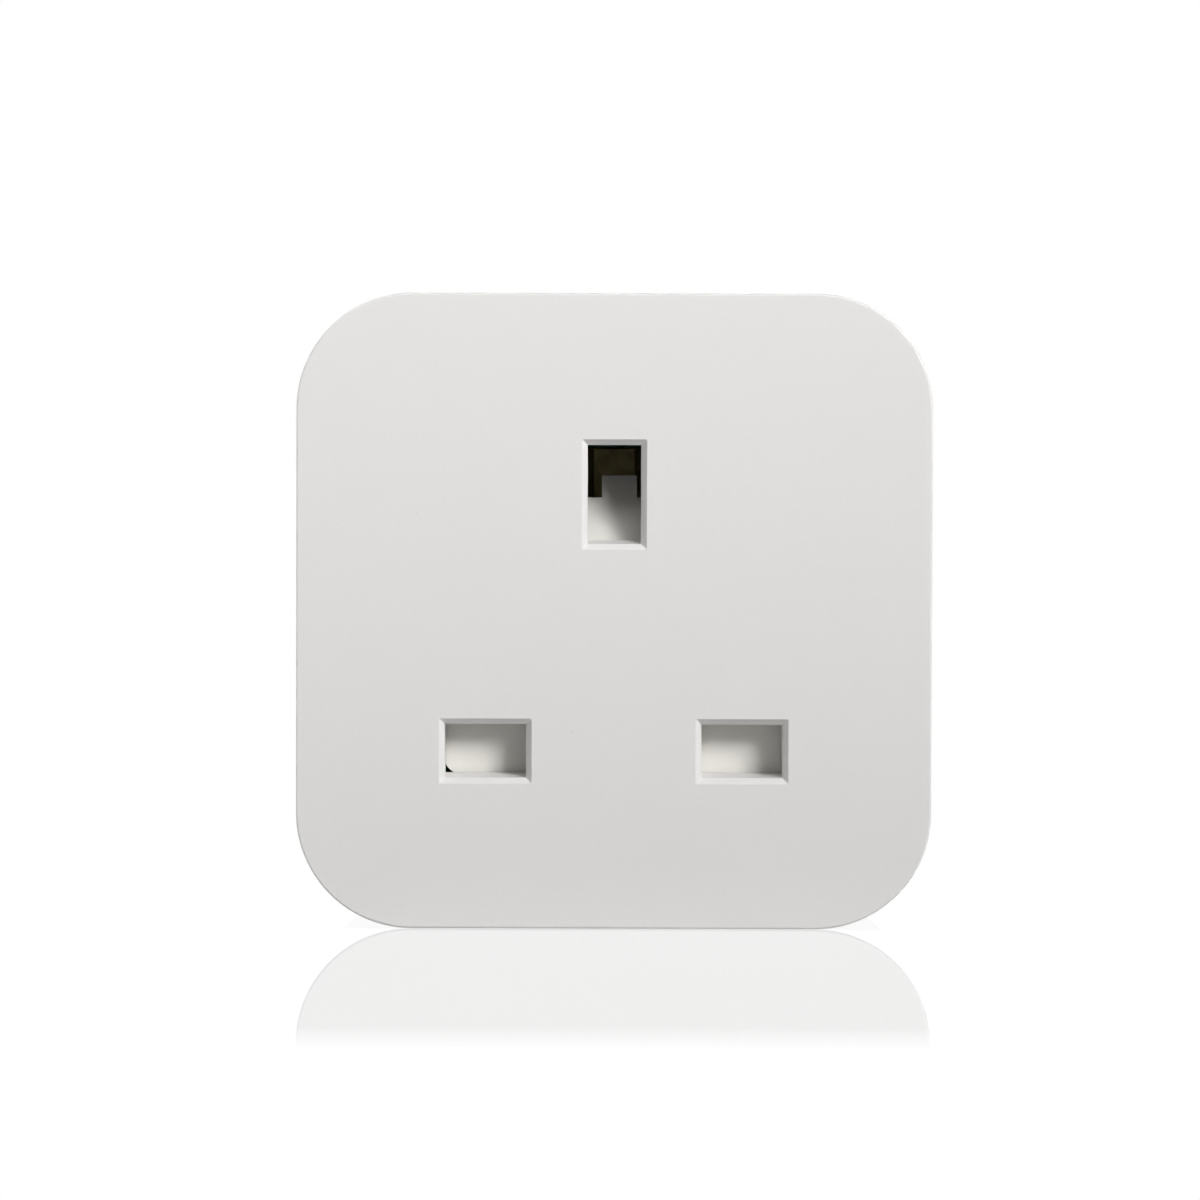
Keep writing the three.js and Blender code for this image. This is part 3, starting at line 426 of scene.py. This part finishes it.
def clear_material(name):
    material, tree, shader = new_material(name, (0.92, 0.94, 0.95), 0.12)
    shader.inputs["Transmission Weight"].default_value = 0.85
    shader.inputs["IOR"].default_value = 1.49
    haze = noise(tree, coordinates(tree), 0.5 * MM, 2)
    tree.links.new(spread(tree, haze, 0.08, 0.22), shader.inputs["Roughness"])
    return material


def film_material(name, colour):
    """Smooth film or tape with shallow wrinkles, and painted shade in their hollows."""
    material, tree, shader = new_material(name, colour, 0.25)
    crease = noise(tree, coordinates(tree, (1, 0.3, 1)), 2.5 * MM, 3)
    # painted shade: the colour is a fifth darker where the wrinkles dip
    tone = mixed(tree, spread(tree, crease, 0, 1), tuple(c * 0.8 for c in colour), colour)
    tree.links.new(tone, shader.inputs["Base Color"])
    bump(tree, shader, crease, 0.06 * MM)
    return material


SHELL = (0.800, 0.790, 0.776)
LOOKS = {
    "shell": moulded("shell", SHELL, 0.42),
    "shutter": moulded("shutter", (0.775, 0.76, 0.715), 0.38, 0.3 * MM, 0.006 * MM, 0.02, False),
    "inner": moulded("inner", (0.70, 0.69, 0.67), 0.45, 0.25 * MM, 0.01 * MM, 0.04, False),
    "black": moulded("black", (0.018, 0.018, 0.020), 0.42, 0.2 * MM, 0.012 * MM, 0.3, False),
    "sleeve": moulded("sleeve", (0.022, 0.022, 0.024), 0.5, 0.15 * MM, 0.01 * MM, 0.3, False),
    "ferrite": moulded("ferrite", (0.085, 0.085, 0.09), 0.6, 0.12 * MM, 0.02 * MM, 0.4, False),
    "yellow": moulded("yellow", (0.72, 0.50, 0.07), 0.3, 0.4 * MM, 0.006 * MM, 0.08, False),
    "blue": moulded("blue", (0.04, 0.15, 0.45), 0.22, 0.6 * MM, 0.02 * MM, 0.15, False),
    "resistor": moulded("resistor", (0.10, 0.28, 0.22), 0.3, 0.3 * MM, 0.01 * MM, 0.15, False),
    "brass": metal("brass", (0.83, 0.64, 0.30), 0.26, (0.50, 0.34, 0.14), (1, 0.06, 1), 0.35),
    "steel": metal("steel", (0.52, 0.52, 0.53), 0.30, (0.33, 0.32, 0.31), (1, 1, 0.1), 0.5),
    "contact": metal("contact", (0.46, 0.39, 0.19), 0.5, (0.20, 0.155, 0.065), (1, 0.06, 1), 0.6),
    "copper": metal("copper", (0.80, 0.42, 0.25), 0.28, (0.45, 0.20, 0.11), (1, 0.1, 1), 0.4),
    "board": board_material("board"),
    "wire": winding_material("wire", (0.72, 0.30, 0.12), "Z", 0.16 * MM),
    "tape": film_material("tape", (0.70, 0.42, 0.06)),
    "clear": clear_material("clear"),
}


# ---------- mesh building ----------

def round_rect(x, z, wide, high, radius, y, steps=3, lift=0.0):
    """A ring of points round a rectangle with round corners. lift raises its lower side."""
    points = []
    for index, (sx, sz) in enumerate(((1, 1), (-1, 1), (-1, -1), (1, -1))):
        for step in range(steps + 1):
            angle = math.pi / 2 * (index + step / steps)
            px = x + sx * (wide / 2 - radius) + radius * math.cos(angle)
            pz = z + sz * (high / 2 - radius) + radius * math.sin(angle)
            points.append((px, y, pz + (lift if sz < 0 else 0)))
    return points


def case_ring(inset, y):
    """The outline of the case, inset from its sides."""
    wide = 2 * (HALF - inset)
    return round_rect(0, 0, wide, wide, CORNER - inset, y, CORNER_STEPS)


def circle(x, z, radius, y, sides=32):
    """A ring of points round a line along Y."""
    angles = (2 * math.pi * i / sides for i in range(sides))
    return [(x + radius * math.cos(a), y, z + radius * math.sin(a)) for a in angles]


def edge_round(radius, steps=5):
    """Pairs (across, along) round a quarter circle, from the face to the side."""
    angles = (math.pi / 2 * i / steps for i in range(steps + 1))
    return [(radius * (1 - math.sin(a)), radius * (1 - math.cos(a))) for a in angles]


class Skin:
    """A closed surface made of stacks of rings, with flat caps between ring ends."""

    def __init__(self):
        self.bm = bmesh.new()

    def ring(self, points):
        return [self.bm.verts.new(point) for point in points]

    def stack(self, rings):
        """Joins rings of equal length one after another. Returns the edges of the first and last."""
        rows = [self.ring(points) for points in rings]
        count = len(rows[0])
        for one, two in zip(rows, rows[1:]):
            for i in range(count):
                j = (i + 1) % count
                self.bm.faces.new((one[i], one[j], two[j], two[i]))
        return self.loop(rows[0]), self.loop(rows[-1])

    def loop(self, row):
        pairs = zip(row, row[1:] + row[:1])
        return [self.bm.edges.get(pair) or self.bm.edges.new(pair) for pair in pairs]

    def cap(self, *loops):
        """A flat face bounded by the loops, the first outside and the others holes in it."""
        edges = [edge for loop in loops for edge in loop]
        bmesh.ops.triangle_fill(self.bm, edges=edges, use_beauty=True)

    def mesh(self, name):
        bmesh.ops.recalc_face_normals(self.bm, faces=self.bm.faces)
        made = bpy.data.meshes.new(name)
        self.bm.to_mesh(made)
        self.bm.free()
        return made


def tool(name, mesh):
    made = bpy.data.objects.new(name, mesh)
    bpy.context.collection.objects.link(made)
    return made


def block_tool(low, high):
    """A block between two corners."""
    mesh = bpy.data.meshes.new("block")
    bm = bmesh.new()
    bmesh.ops.create_cube(bm, size=1)
    for vertex in bm.verts:
        vertex.co = Vector(l + (h - l) * (c + 0.5) for l, h, c in zip(low, high, vertex.co))
    bm.to_mesh(mesh)
    bm.free()
    return tool("block", mesh)


def stack_tool(rings, name="tool"):
    """A closed solid made of rings, capped at both ends."""
    skin = Skin()
    first, last = skin.stack(rings)
    skin.cap(first)
    skin.cap(last)
    return tool(name, skin.mesh(name))


def apply_modifiers(piece):
    graph = bpy.context.evaluated_depsgraph_get()
    made = bpy.data.meshes.new_from_object(piece.evaluated_get(graph))
    piece.modifiers.clear()
    piece.data = made


def combine(base, operation, *tools):
    """Joins or cuts base with each tool, and removes the tools."""
    for other in tools:
        step = base.modifiers.new("step", "BOOLEAN")
        step.operation = operation
        step.solver = "EXACT"
        step.object = other
        apply_modifiers(base)
        bpy.data.objects.remove(other)


SHARP = math.radians(32)


def smooth(mesh):
    """Smooth shading with a sharp edge wherever two faces meet at more than the SHARP angle."""
    bm = bmesh.new()
    bm.from_mesh(mesh)
    for face in bm.faces:
        face.smooth = True
    for edge in bm.edges:
        edge.smooth = len(edge.link_faces) == 2 and edge.calc_face_angle() < SHARP
    bm.to_mesh(mesh)
    bm.free()


BODIES = frame["record"]["behaviour"]["bodies"]
BODY_OF = {node: body for body, nodes in BODIES.items() for node in nodes}
SLOT_OF = {entry["node"]: entry["material_slot"] for entry in frame["record"]["subparts"]}
LOOK_OF_SLOT = {
    "white_shell": "shell", "white_inner": "inner", "black_plastic": "black", "grey_part": "ferrite",
    "brass": "brass", "steel": "steel", "copper": "copper", "board": "board", "yellow_case": "yellow",
    "blue_coat": "blue", "amber_film": "tape", "clear": "clear",
}
LOOK_OF_NODE = {
    "shutter": "shutter", "neutral_pin_sleeve": "sleeve", "live_pin_sleeve": "sleeve",
    "relay_winding": "wire", "fuse_resistor": "resistor", "neutral_contact": "contact",
    "live_contact": "contact", "earth_contact": "contact",
}


def finish_piece(piece, node):
    """Gives a piece its material and shading, and lets it stand for its CAD node."""
    look = LOOK_OF_NODE.get(node, LOOK_OF_SLOT[SLOT_OF[node]])
    piece.data.materials.clear()
    piece.data.materials.append(LOOKS[look])
    smooth(piece.data)
    even = piece.modifiers.new("even_normals", "WEIGHTED_NORMAL")
    even.weight = 100
    even.keep_sharp = True
    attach(piece, BODY_OF[node])
    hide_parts(node)
    return piece


# ---------- front housing ----------

FACE_ROUND = 0.2 * MM
REAR_ROUND = 1.2 * MM
SEAM_ROUND = 0.15 * MM
EMBED = 0.4 * MM  # how far joined shapes run into each other
BOSS_AT = 21 * MM
BOSS_R = 2.78 * MM  # just clear of the wall behind it
BOSS = {"radius": BOSS_R, "end": -12 * MM, "hole": 1.35 * MM, "floor": -20 * MM}
CORNERS = [(sx * BOSS_AT, sz * BOSS_AT) for sx in (-1, 1) for sz in (-1, 1)]
POSTS_AT = [centre(f"carrier_screw_{side}").xz for side in ("left", "right")]
POST = {"radius": 2.25 * MM, "hole": 1.1 * MM, "floor": FACE_BACK + 0.6 * MM}
POST_INTO_CARRIER = 2.4 * MM
TONGUE_ROOM = {"inset": 1.1 * MM, "deep": 2.6 * MM}
RAIL_END = -15 * MM
RAIL_LOW = 16.9 * MM
RAILS = [  # a web and two lips: nearest and furthest from the middle in mm, then lowest and highest
    ((16.3, 17.3), (RAIL_LOW, HALF - WALL + EMBED)),
    ((15.3, 17.2), (RAIL_LOW, 17.6 * MM)),
    ((15.3, 17.2), (19 * MM, 19.8 * MM)),
]
BUTTON = centre("button_cap")
PIPE = centre("light_pipe")
BUTTON_SIZE = (12 * MM, 5 * MM)
BUTTON_HOLE = (12.4 * MM, 5.4 * MM)
PIPE_R = 1.1 * MM
PIPE_HOLE_R = 1.2 * MM
HOLE_CHAMFER = 0.2 * MM
SLOT_CORNER = 0.06 * MM
CORNER_GROWTH = 0.12  # how much a slot's corner opens with its bevel


def slot_rings(at, size):
    """The rings of a slot from its mouth in the face, through the bevel, to the root of its collar.

    The earth slot has no collar, which leaves room for the head of the shutter.
    """
    wide, high = size
    x, z = at.x, at.z
    soft = 0.03 * MM  # rounding where the face meets the bevel and the bevel meets the wall
    hollow = (0.2 * MM, 0.33 * MM)  # the bevel's middle, a little deeper than a flat bevel's

    def ring(grow, y, lift=0.0):
        radius = SLOT_CORNER + CORNER_GROWTH * max(grow, 0)
        return round_rect(x, z, wide + 2 * grow, high + 2 * grow, radius, y, 3, lift)

    bevel_end = FRONT + SLOT_BEVEL
    rings = [
        ring(SLOT_BEVEL + soft, FRONT),
        ring(SLOT_BEVEL + 0.2 * soft, FRONT + 0.25 * soft),
        ring(SLOT_BEVEL - 0.8 * soft, FRONT + 0.9 * soft),
        ring(hollow[0], FRONT + hollow[1]),
        ring(0.8 * soft, bevel_end - 0.7 * soft),
        ring(0.2 * soft, bevel_end - 0.1 * soft),
        ring(0, bevel_end + soft),
    ]
    if size == EARTH_SLOT:
        return rings + [ring(0, FACE_BACK, DRAFT)]
    collar = [ring(0, COLLAR_END, DRAFT), ring(COLLAR_WALL, COLLAR_END), ring(COLLAR_WALL, FACE_BACK)]
    return rings + collar


def stadium_rings(x, y, long, wide, levels):
    """Rings round a slot with round ends, lying flat, one for each (grow, z) pair of levels."""
    rings = []
    apart = 0.002 * MM  # keeps the two quarters of a round end from meeting in one point
    for grow, z in levels:
        full = wide + 2 * grow
        flat = round_rect(0, 0, long + 2 * grow, full, full / 2 - apart, 0, 12)
        rings.append([(px + x, pz + y, z) for px, _, pz in flat])
    return rings


def disc_rings(x, y, radius, levels, sides=32):
    """Rings round the Z axis line through (x, y), one for each (grow, z) pair of levels."""
    return [[(px, pz, z) for px, _, pz in circle(x, y, radius + grow, 0, sides)] for grow, z in levels]


def seam_rings(y, out):
    """The rounded rim of a case half, which ends at y. out is the way the rim faces along Y."""
    return [case_ring(across, y - out * along) for across, along in reversed(edge_round(SEAM_ROUND, 3))]


def stand(skin, at, root, radius, end, hole, floor, sides=32):
    """A round stand on a wall, with a blind hole in its end if hole isn't 0. Returns its root's edges."""
    levels = [(radius, root), (radius, end)]
    if hole:
        levels += [(hole, end), (hole, floor)]
    foot, last = skin.stack([circle(*at, r, y, sides) for r, y in levels])
    skin.cap(last)
    return foot


def front_housing():
    skin = Skin()
    inset, room_end = TONGUE_ROOM["inset"], SPLIT - TONGUE_ROOM["deep"]
    edge = [case_ring(across, FRONT + along) for across, along in edge_round(FACE_ROUND)]
    inside = [(inset, SPLIT), (inset, room_end), (WALL, room_end), (WALL, FACE_BACK)]
    rings = edge + seam_rings(SPLIT, 1) + [case_ring(*pair) for pair in inside]
    face, back = skin.stack(rings)
    slots = [skin.stack(slot_rings(at, size)) for at, size in POLES.values()]
    raised = [stand(skin, at, FACE_BACK, **BOSS) for at in CORNERS]
    post_end = span("socket_carrier", Y)[0] + POST_INTO_CARRIER
    raised += [stand(skin, at, FACE_BACK, end=post_end, **POST) for at in POSTS_AT]
    skin.cap(face, *[mouth for mouth, _ in slots])
    skin.cap(back, *[root for _, root in slots], *raised)
    piece = tool("front_shell", skin.mesh("front_shell"))
    for side in (-1, 1):
        for across, (bottom, top) in RAILS:
            left, right = sorted(side * x * MM for x in across)
            block = block_tool((left, FACE_BACK - EMBED, bottom), (right, RAIL_END, top))
            combine(piece, "UNION", block)
    through = [
        (0, HALF - 3 * MM), (0, HALF - HOLE_CHAMFER), (HOLE_CHAMFER, HALF), (HOLE_CHAMFER, HALF + MM),
    ]
    button_hole = stadium_rings(BUTTON.x, BUTTON.y, *BUTTON_HOLE, through)
    pipe_hole = disc_rings(PIPE.x, PIPE.y, PIPE_HOLE_R, [(g / 2, z) for g, z in through])
    combine(piece, "DIFFERENCE", stack_tool(button_hole), stack_tool(pipe_hole))
    return finish_piece(piece, "front_housing")


# ---------- rear housing ----------

TONGUE = {"inset": 1.2 * MM, "long": 2.4 * MM}
# A screw well's steps from its mouth to its root on the plate, as (radius, y) in mm.
WELL = [(2.62, 0), (2.5, -0.12), (2.5, -2.2), (1.4, -2.2), (1.4, -11.5)]
PIN_HOLES = {"neutral": (6.45, 4.07), "live": (6.45, 4.07), "earth": (4.07, 8.05)}
PIN_HOLE_CHAMFER = 0.15 * MM
PIN_HOLE_CORNER = 0.25 * MM
CLAMP_STAND = {"radius": 2.2 * MM, "end": -4.8 * MM, "hole": 0.95 * MM, "floor": -2.0 * MM}
BOARD_STAND = {"radius": 1.6 * MM, "end": -9.0 * MM, "hole": 0, "floor": 0}  # no hole
BOARD_STANDS_AT = [(side * 22.5 * MM, 3 * MM) for side in (-1, 1)]


def rear_housing():
    skin = Skin()
    inset, tongue_end = TONGUE["inset"], SPLIT - TONGUE["long"]
    edge = [case_ring(across, -along) for across, along in edge_round(REAR_ROUND, 8)]
    inside = [(inset, REAR_START), (inset, tongue_end), (WALL, tongue_end), (WALL, -PLATE)]
    rings = edge + seam_rings(REAR_START, -1) + [case_ring(*pair) for pair in inside]
    face, back = skin.stack(rings)
    outer, inner = [], []
    for x, z in CORNERS:
        levels = [(r * MM, y * MM) for r, y in WELL]
        levels += [(BOSS_R, levels[-1][1]), (BOSS_R, -PLATE)]
        mouth, root = skin.stack([circle(x, z, r, y) for r, y in levels])
        outer.append(mouth)
        inner.append(root)
    for name, (at, _) in POLES.items():
        wide, high = (size * MM for size in PIN_HOLES[name])
        levels = [(PIN_HOLE_CHAMFER, 0), (0, -PIN_HOLE_CHAMFER), (0, -PLATE)]
        rings = [
            round_rect(at.x, at.z, wide + 2 * g, high + 2 * g, PIN_HOLE_CORNER + g, y) for g, y in levels
        ]
        mouth, root = skin.stack(rings)
        outer.append(mouth)
        inner.append(root)
    stands = [(centre(f"clamp_screw_{level}").xz, CLAMP_STAND) for level in ("lower", "upper")]
    stands += [(at, BOARD_STAND) for at in BOARD_STANDS_AT]
    inner += [stand(skin, at, -PLATE, sides=24, **size) for at, size in stands]
    skin.cap(face, *outer)
    skin.cap(back, *inner)
    return finish_piece(tool("rear_shell", skin.mesh("rear_shell")), "rear_housing")


# ---------- screws ----------

# The top of a screw's head, as (share of its radius, mm from its highest point).
HEAD_DOME = [(0.60, 0.0), (0.78, -0.06), (0.92, -0.2), (1.0, -0.45)]
THREAD = {"pitch": 0.45 * MM, "start": 0.3 * MM, "plain": 1.2 * MM, "root": 0.8, "point": 0.25}
RECESS_SHARE = 0.55  # of the head's radius
RECESS_DEPTH = 0.9
CASE_SCREW = ((2.3, 1.6), 1.2)
CARRIER_SCREW = ((1.8, 1.3), 0.9)
CLAMP_SCREW = ((1.8, 1.3), 0.8)


def cross_recess(x, z, far, out, reach, deep):
    """Two tapered bars that cut a cross into a screw's head."""
    wide = 0.42 * reach
    made = []
    for long_x, long_z in ((reach, wide / 2), (wide / 2, reach)):
        levels = [(1.15, 0.3), (1.0, 0), (0.62, -deep)]
        rings = []
        for grow, level in levels:
            y = far + out * level * MM
            rings.append(round_rect(x, z, 2 * long_x * grow, 2 * long_z * grow, 0.05 * MM, y, 2))
        made.append(stack_tool(rings))
    return made


def screw(node, out, head, shaft):
    """A pan-head screw with a cross recess.

    out is the side of its head along Y, head its radius and height in mm, and shaft its radius in mm.
    """
    at = centre(node)
    low, high = span(node, Y)
    far, tip = (high, low) if out > 0 else (low, high)
    seat = far - out * head[1] * MM
    levels = [(head[0] * r, far + out * y * MM) for r, y in HEAD_DOME] + [(head[0], seat), (shaft, seat)]
    turns = int((abs(seat - tip) - THREAD["plain"]) / THREAD["pitch"])
    for i in range(turns):
        y = seat - out * (THREAD["start"] + i * THREAD["pitch"])
        levels += [(shaft, y), (shaft * THREAD["root"], y - out * THREAD["pitch"] / 2)]
    levels.append((shaft * THREAD["point"], tip))
    piece = stack_tool([circle(at.x, at.z, r * MM, y, 28) for r, y in levels], f"{node}_body")
    reach = head[0] * RECESS_SHARE * MM
    combine(piece, "DIFFERENCE", *cross_recess(at.x, at.z, far, out, reach, RECESS_DEPTH))
    return finish_piece(piece, node)


def add_screws():
    for i in range(4):
        screw(f"case_screw_{i + 1}", 1, *CASE_SCREW)
    for side in ("left", "right"):
        screw(f"carrier_screw_{side}", 1, *CARRIER_SCREW)
    for level in ("lower", "upper"):
        screw(f"clamp_screw_{level}", -1, *CLAMP_SCREW)


# ---------- shutter spring ----------

def shutter_spring():
    """A round-wire coil with closed end turns."""
    middle = centre("shutter_spring")
    low, high = span("shutter_spring", Z)
    wire = 0.2 * MM
    radius = 1.5 * MM
    turns, per_turn, sides = 10, 24, 10
    bottom, top = low + wire, high - wire

    def height(turn):
        """Rises by the wire's thickness over the first and last turn, and evenly between them."""
        ends = 2 * wire
        if turn <= 1:
            return bottom + ends * turn
        if turn >= turns - 1:
            return top - ends * (turns - turn)
        return bottom + ends + (top - bottom - 2 * ends) * (turn - 1) / (turns - 2)

    rings = []
    for step in range(turns * per_turn + 1):
        turn = step / per_turn
        angle = 2 * math.pi * turn
        out = Vector((math.cos(angle), math.sin(angle), 0))
        at = Vector((middle.x, middle.y, height(turn))) + radius * out
        slices = (2 * math.pi * k / sides for k in range(sides))
        rings.append([at + wire * (math.cos(s) * out + math.sin(s) * Vector((0, 0, 1))) for s in slices])
    piece = finish_piece(stack_tool(rings, "spring_coil"), "shutter_spring")
    piece.modifiers.clear()
    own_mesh(piece)
    return piece


# ---------- button and light pipe ----------

def button_cap():
    """A button with a dished top, a flange inside the case and a stem down to the switch."""
    skin = Skin()
    stem_end, top = span("button_cap", Z)
    flange, flange_top = 24.3 * MM, 25.1 * MM
    dish = 0.25 * MM
    levels = [(-1.6 * MM, top - dish), (-1.2 * MM, top - 0.8 * dish), (-0.6 * MM, top - 0.15 * dish)]
    levels += [(-across, top - along) for across, along in edge_round(0.3 * MM)]
    levels += [(0, flange_top), (MM, flange_top), (MM, flange)]
    face, under = skin.stack(stadium_rings(BUTTON.x, BUTTON.y, *BUTTON_SIZE, levels))
    stem = [(0, flange), (0, stem_end)]
    root, end = skin.stack(disc_rings(BUTTON.x, BUTTON.y, 1.5 * MM, stem, 24))
    skin.cap(face)
    skin.cap(under, root)
    skin.cap(end)
    return finish_piece(tool("button_face", skin.mesh("button_face")), "button_cap")


def light_pipe():
    """A clear rod with a domed end and a rim that rests inside the case."""
    low, high = span("light_pipe", Z)
    rim_low, rim_high, rim = 24.4 * MM, 25.2 * MM, 0.8 * MM
    levels = [(-0.5 * MM, high), (-0.15 * MM, high - 0.04 * MM), (0, high - 0.15 * MM)]
    levels += [(0, rim_high), (rim, rim_high), (rim, rim_low), (0, rim_low), (0, low)]
    rings = disc_rings(PIPE.x, PIPE.y, PIPE_R, levels)
    return finish_piece(stack_tool(rings, "light_guide"), "light_pipe")


# ---------- the other pieces, remade from their CAD shape with rounded edges ----------

MERGE = 0.0005 * MM
FLAT = math.radians(1)
HARD = math.radians(35)


def remake(node, width):
    """A CAD node's shape with every hard edge rounded to about width, in mm."""
    mesh = frame["nodes"][node].data.copy()
    bm = bmesh.new()
    bm.from_mesh(mesh)
    bmesh.ops.remove_doubles(bm, verts=bm.verts, dist=MERGE)
    bmesh.ops.dissolve_limit(bm, angle_limit=FLAT, verts=bm.verts, edges=bm.edges)
    bm.to_mesh(mesh)
    bm.free()
    piece = tool(f"{node}_body", mesh)
    rounding = piece.modifiers.new("rounding", "BEVEL")
    rounding.width = width * MM
    rounding.segments = 2
    rounding.limit_method = "ANGLE"
    rounding.angle_limit = HARD
    apply_modifiers(piece)
    return finish_piece(piece, node)


ROUNDING = {  # in mm
    "shutter": 0.12, "neutral_pin": 0.25, "live_pin": 0.25, "earth_pin": 0.3,
    "neutral_pin_sleeve": 0.1, "live_pin_sleeve": 0.1, "pin_clamp": 0.2, "neutral_contact": 0.12,
    "live_contact": 0.12, "earth_contact": 0.12, "socket_carrier": 0.08, "relay_cover": 0.3,
    "relay_base": 0.1, "relay_bobbin": 0.12, "relay_winding": 0.1, "relay_yoke": 0.12,
    "relay_armature": 0.12, "relay_contact_spring": 0.05, "relay_fixed_contact": 0.08,
    "power_board": 0.04, "film_capacitor": 0.4, "bulk_capacitor": 0.25, "transformer_core": 0.3,
    "transformer_bobbin": 0.1, "transformer_winding": 0.9, "varistor": 0.12, "choke": 0.1,
    "fuse_resistor": 0.1, "current_shunt": 0.12, "metering_chip": 0.08, "bridge_rectifier": 0.08,
    "board_header": 0.1, "control_board": 0.05, "insulating_sheet": 0.04, "radio_shield": 0.1,
    "antenna": 0.04, "tact_switch_body": 0.15, "switch_plunger": 0.15, "status_led": 0.25,
}

add_studio()
front_housing()
rear_housing()
add_screws()
shutter_spring()
button_cap()
light_pipe()
for node_name, rounding_mm in ROUNDING.items():
    remake(node_name, rounding_mm)
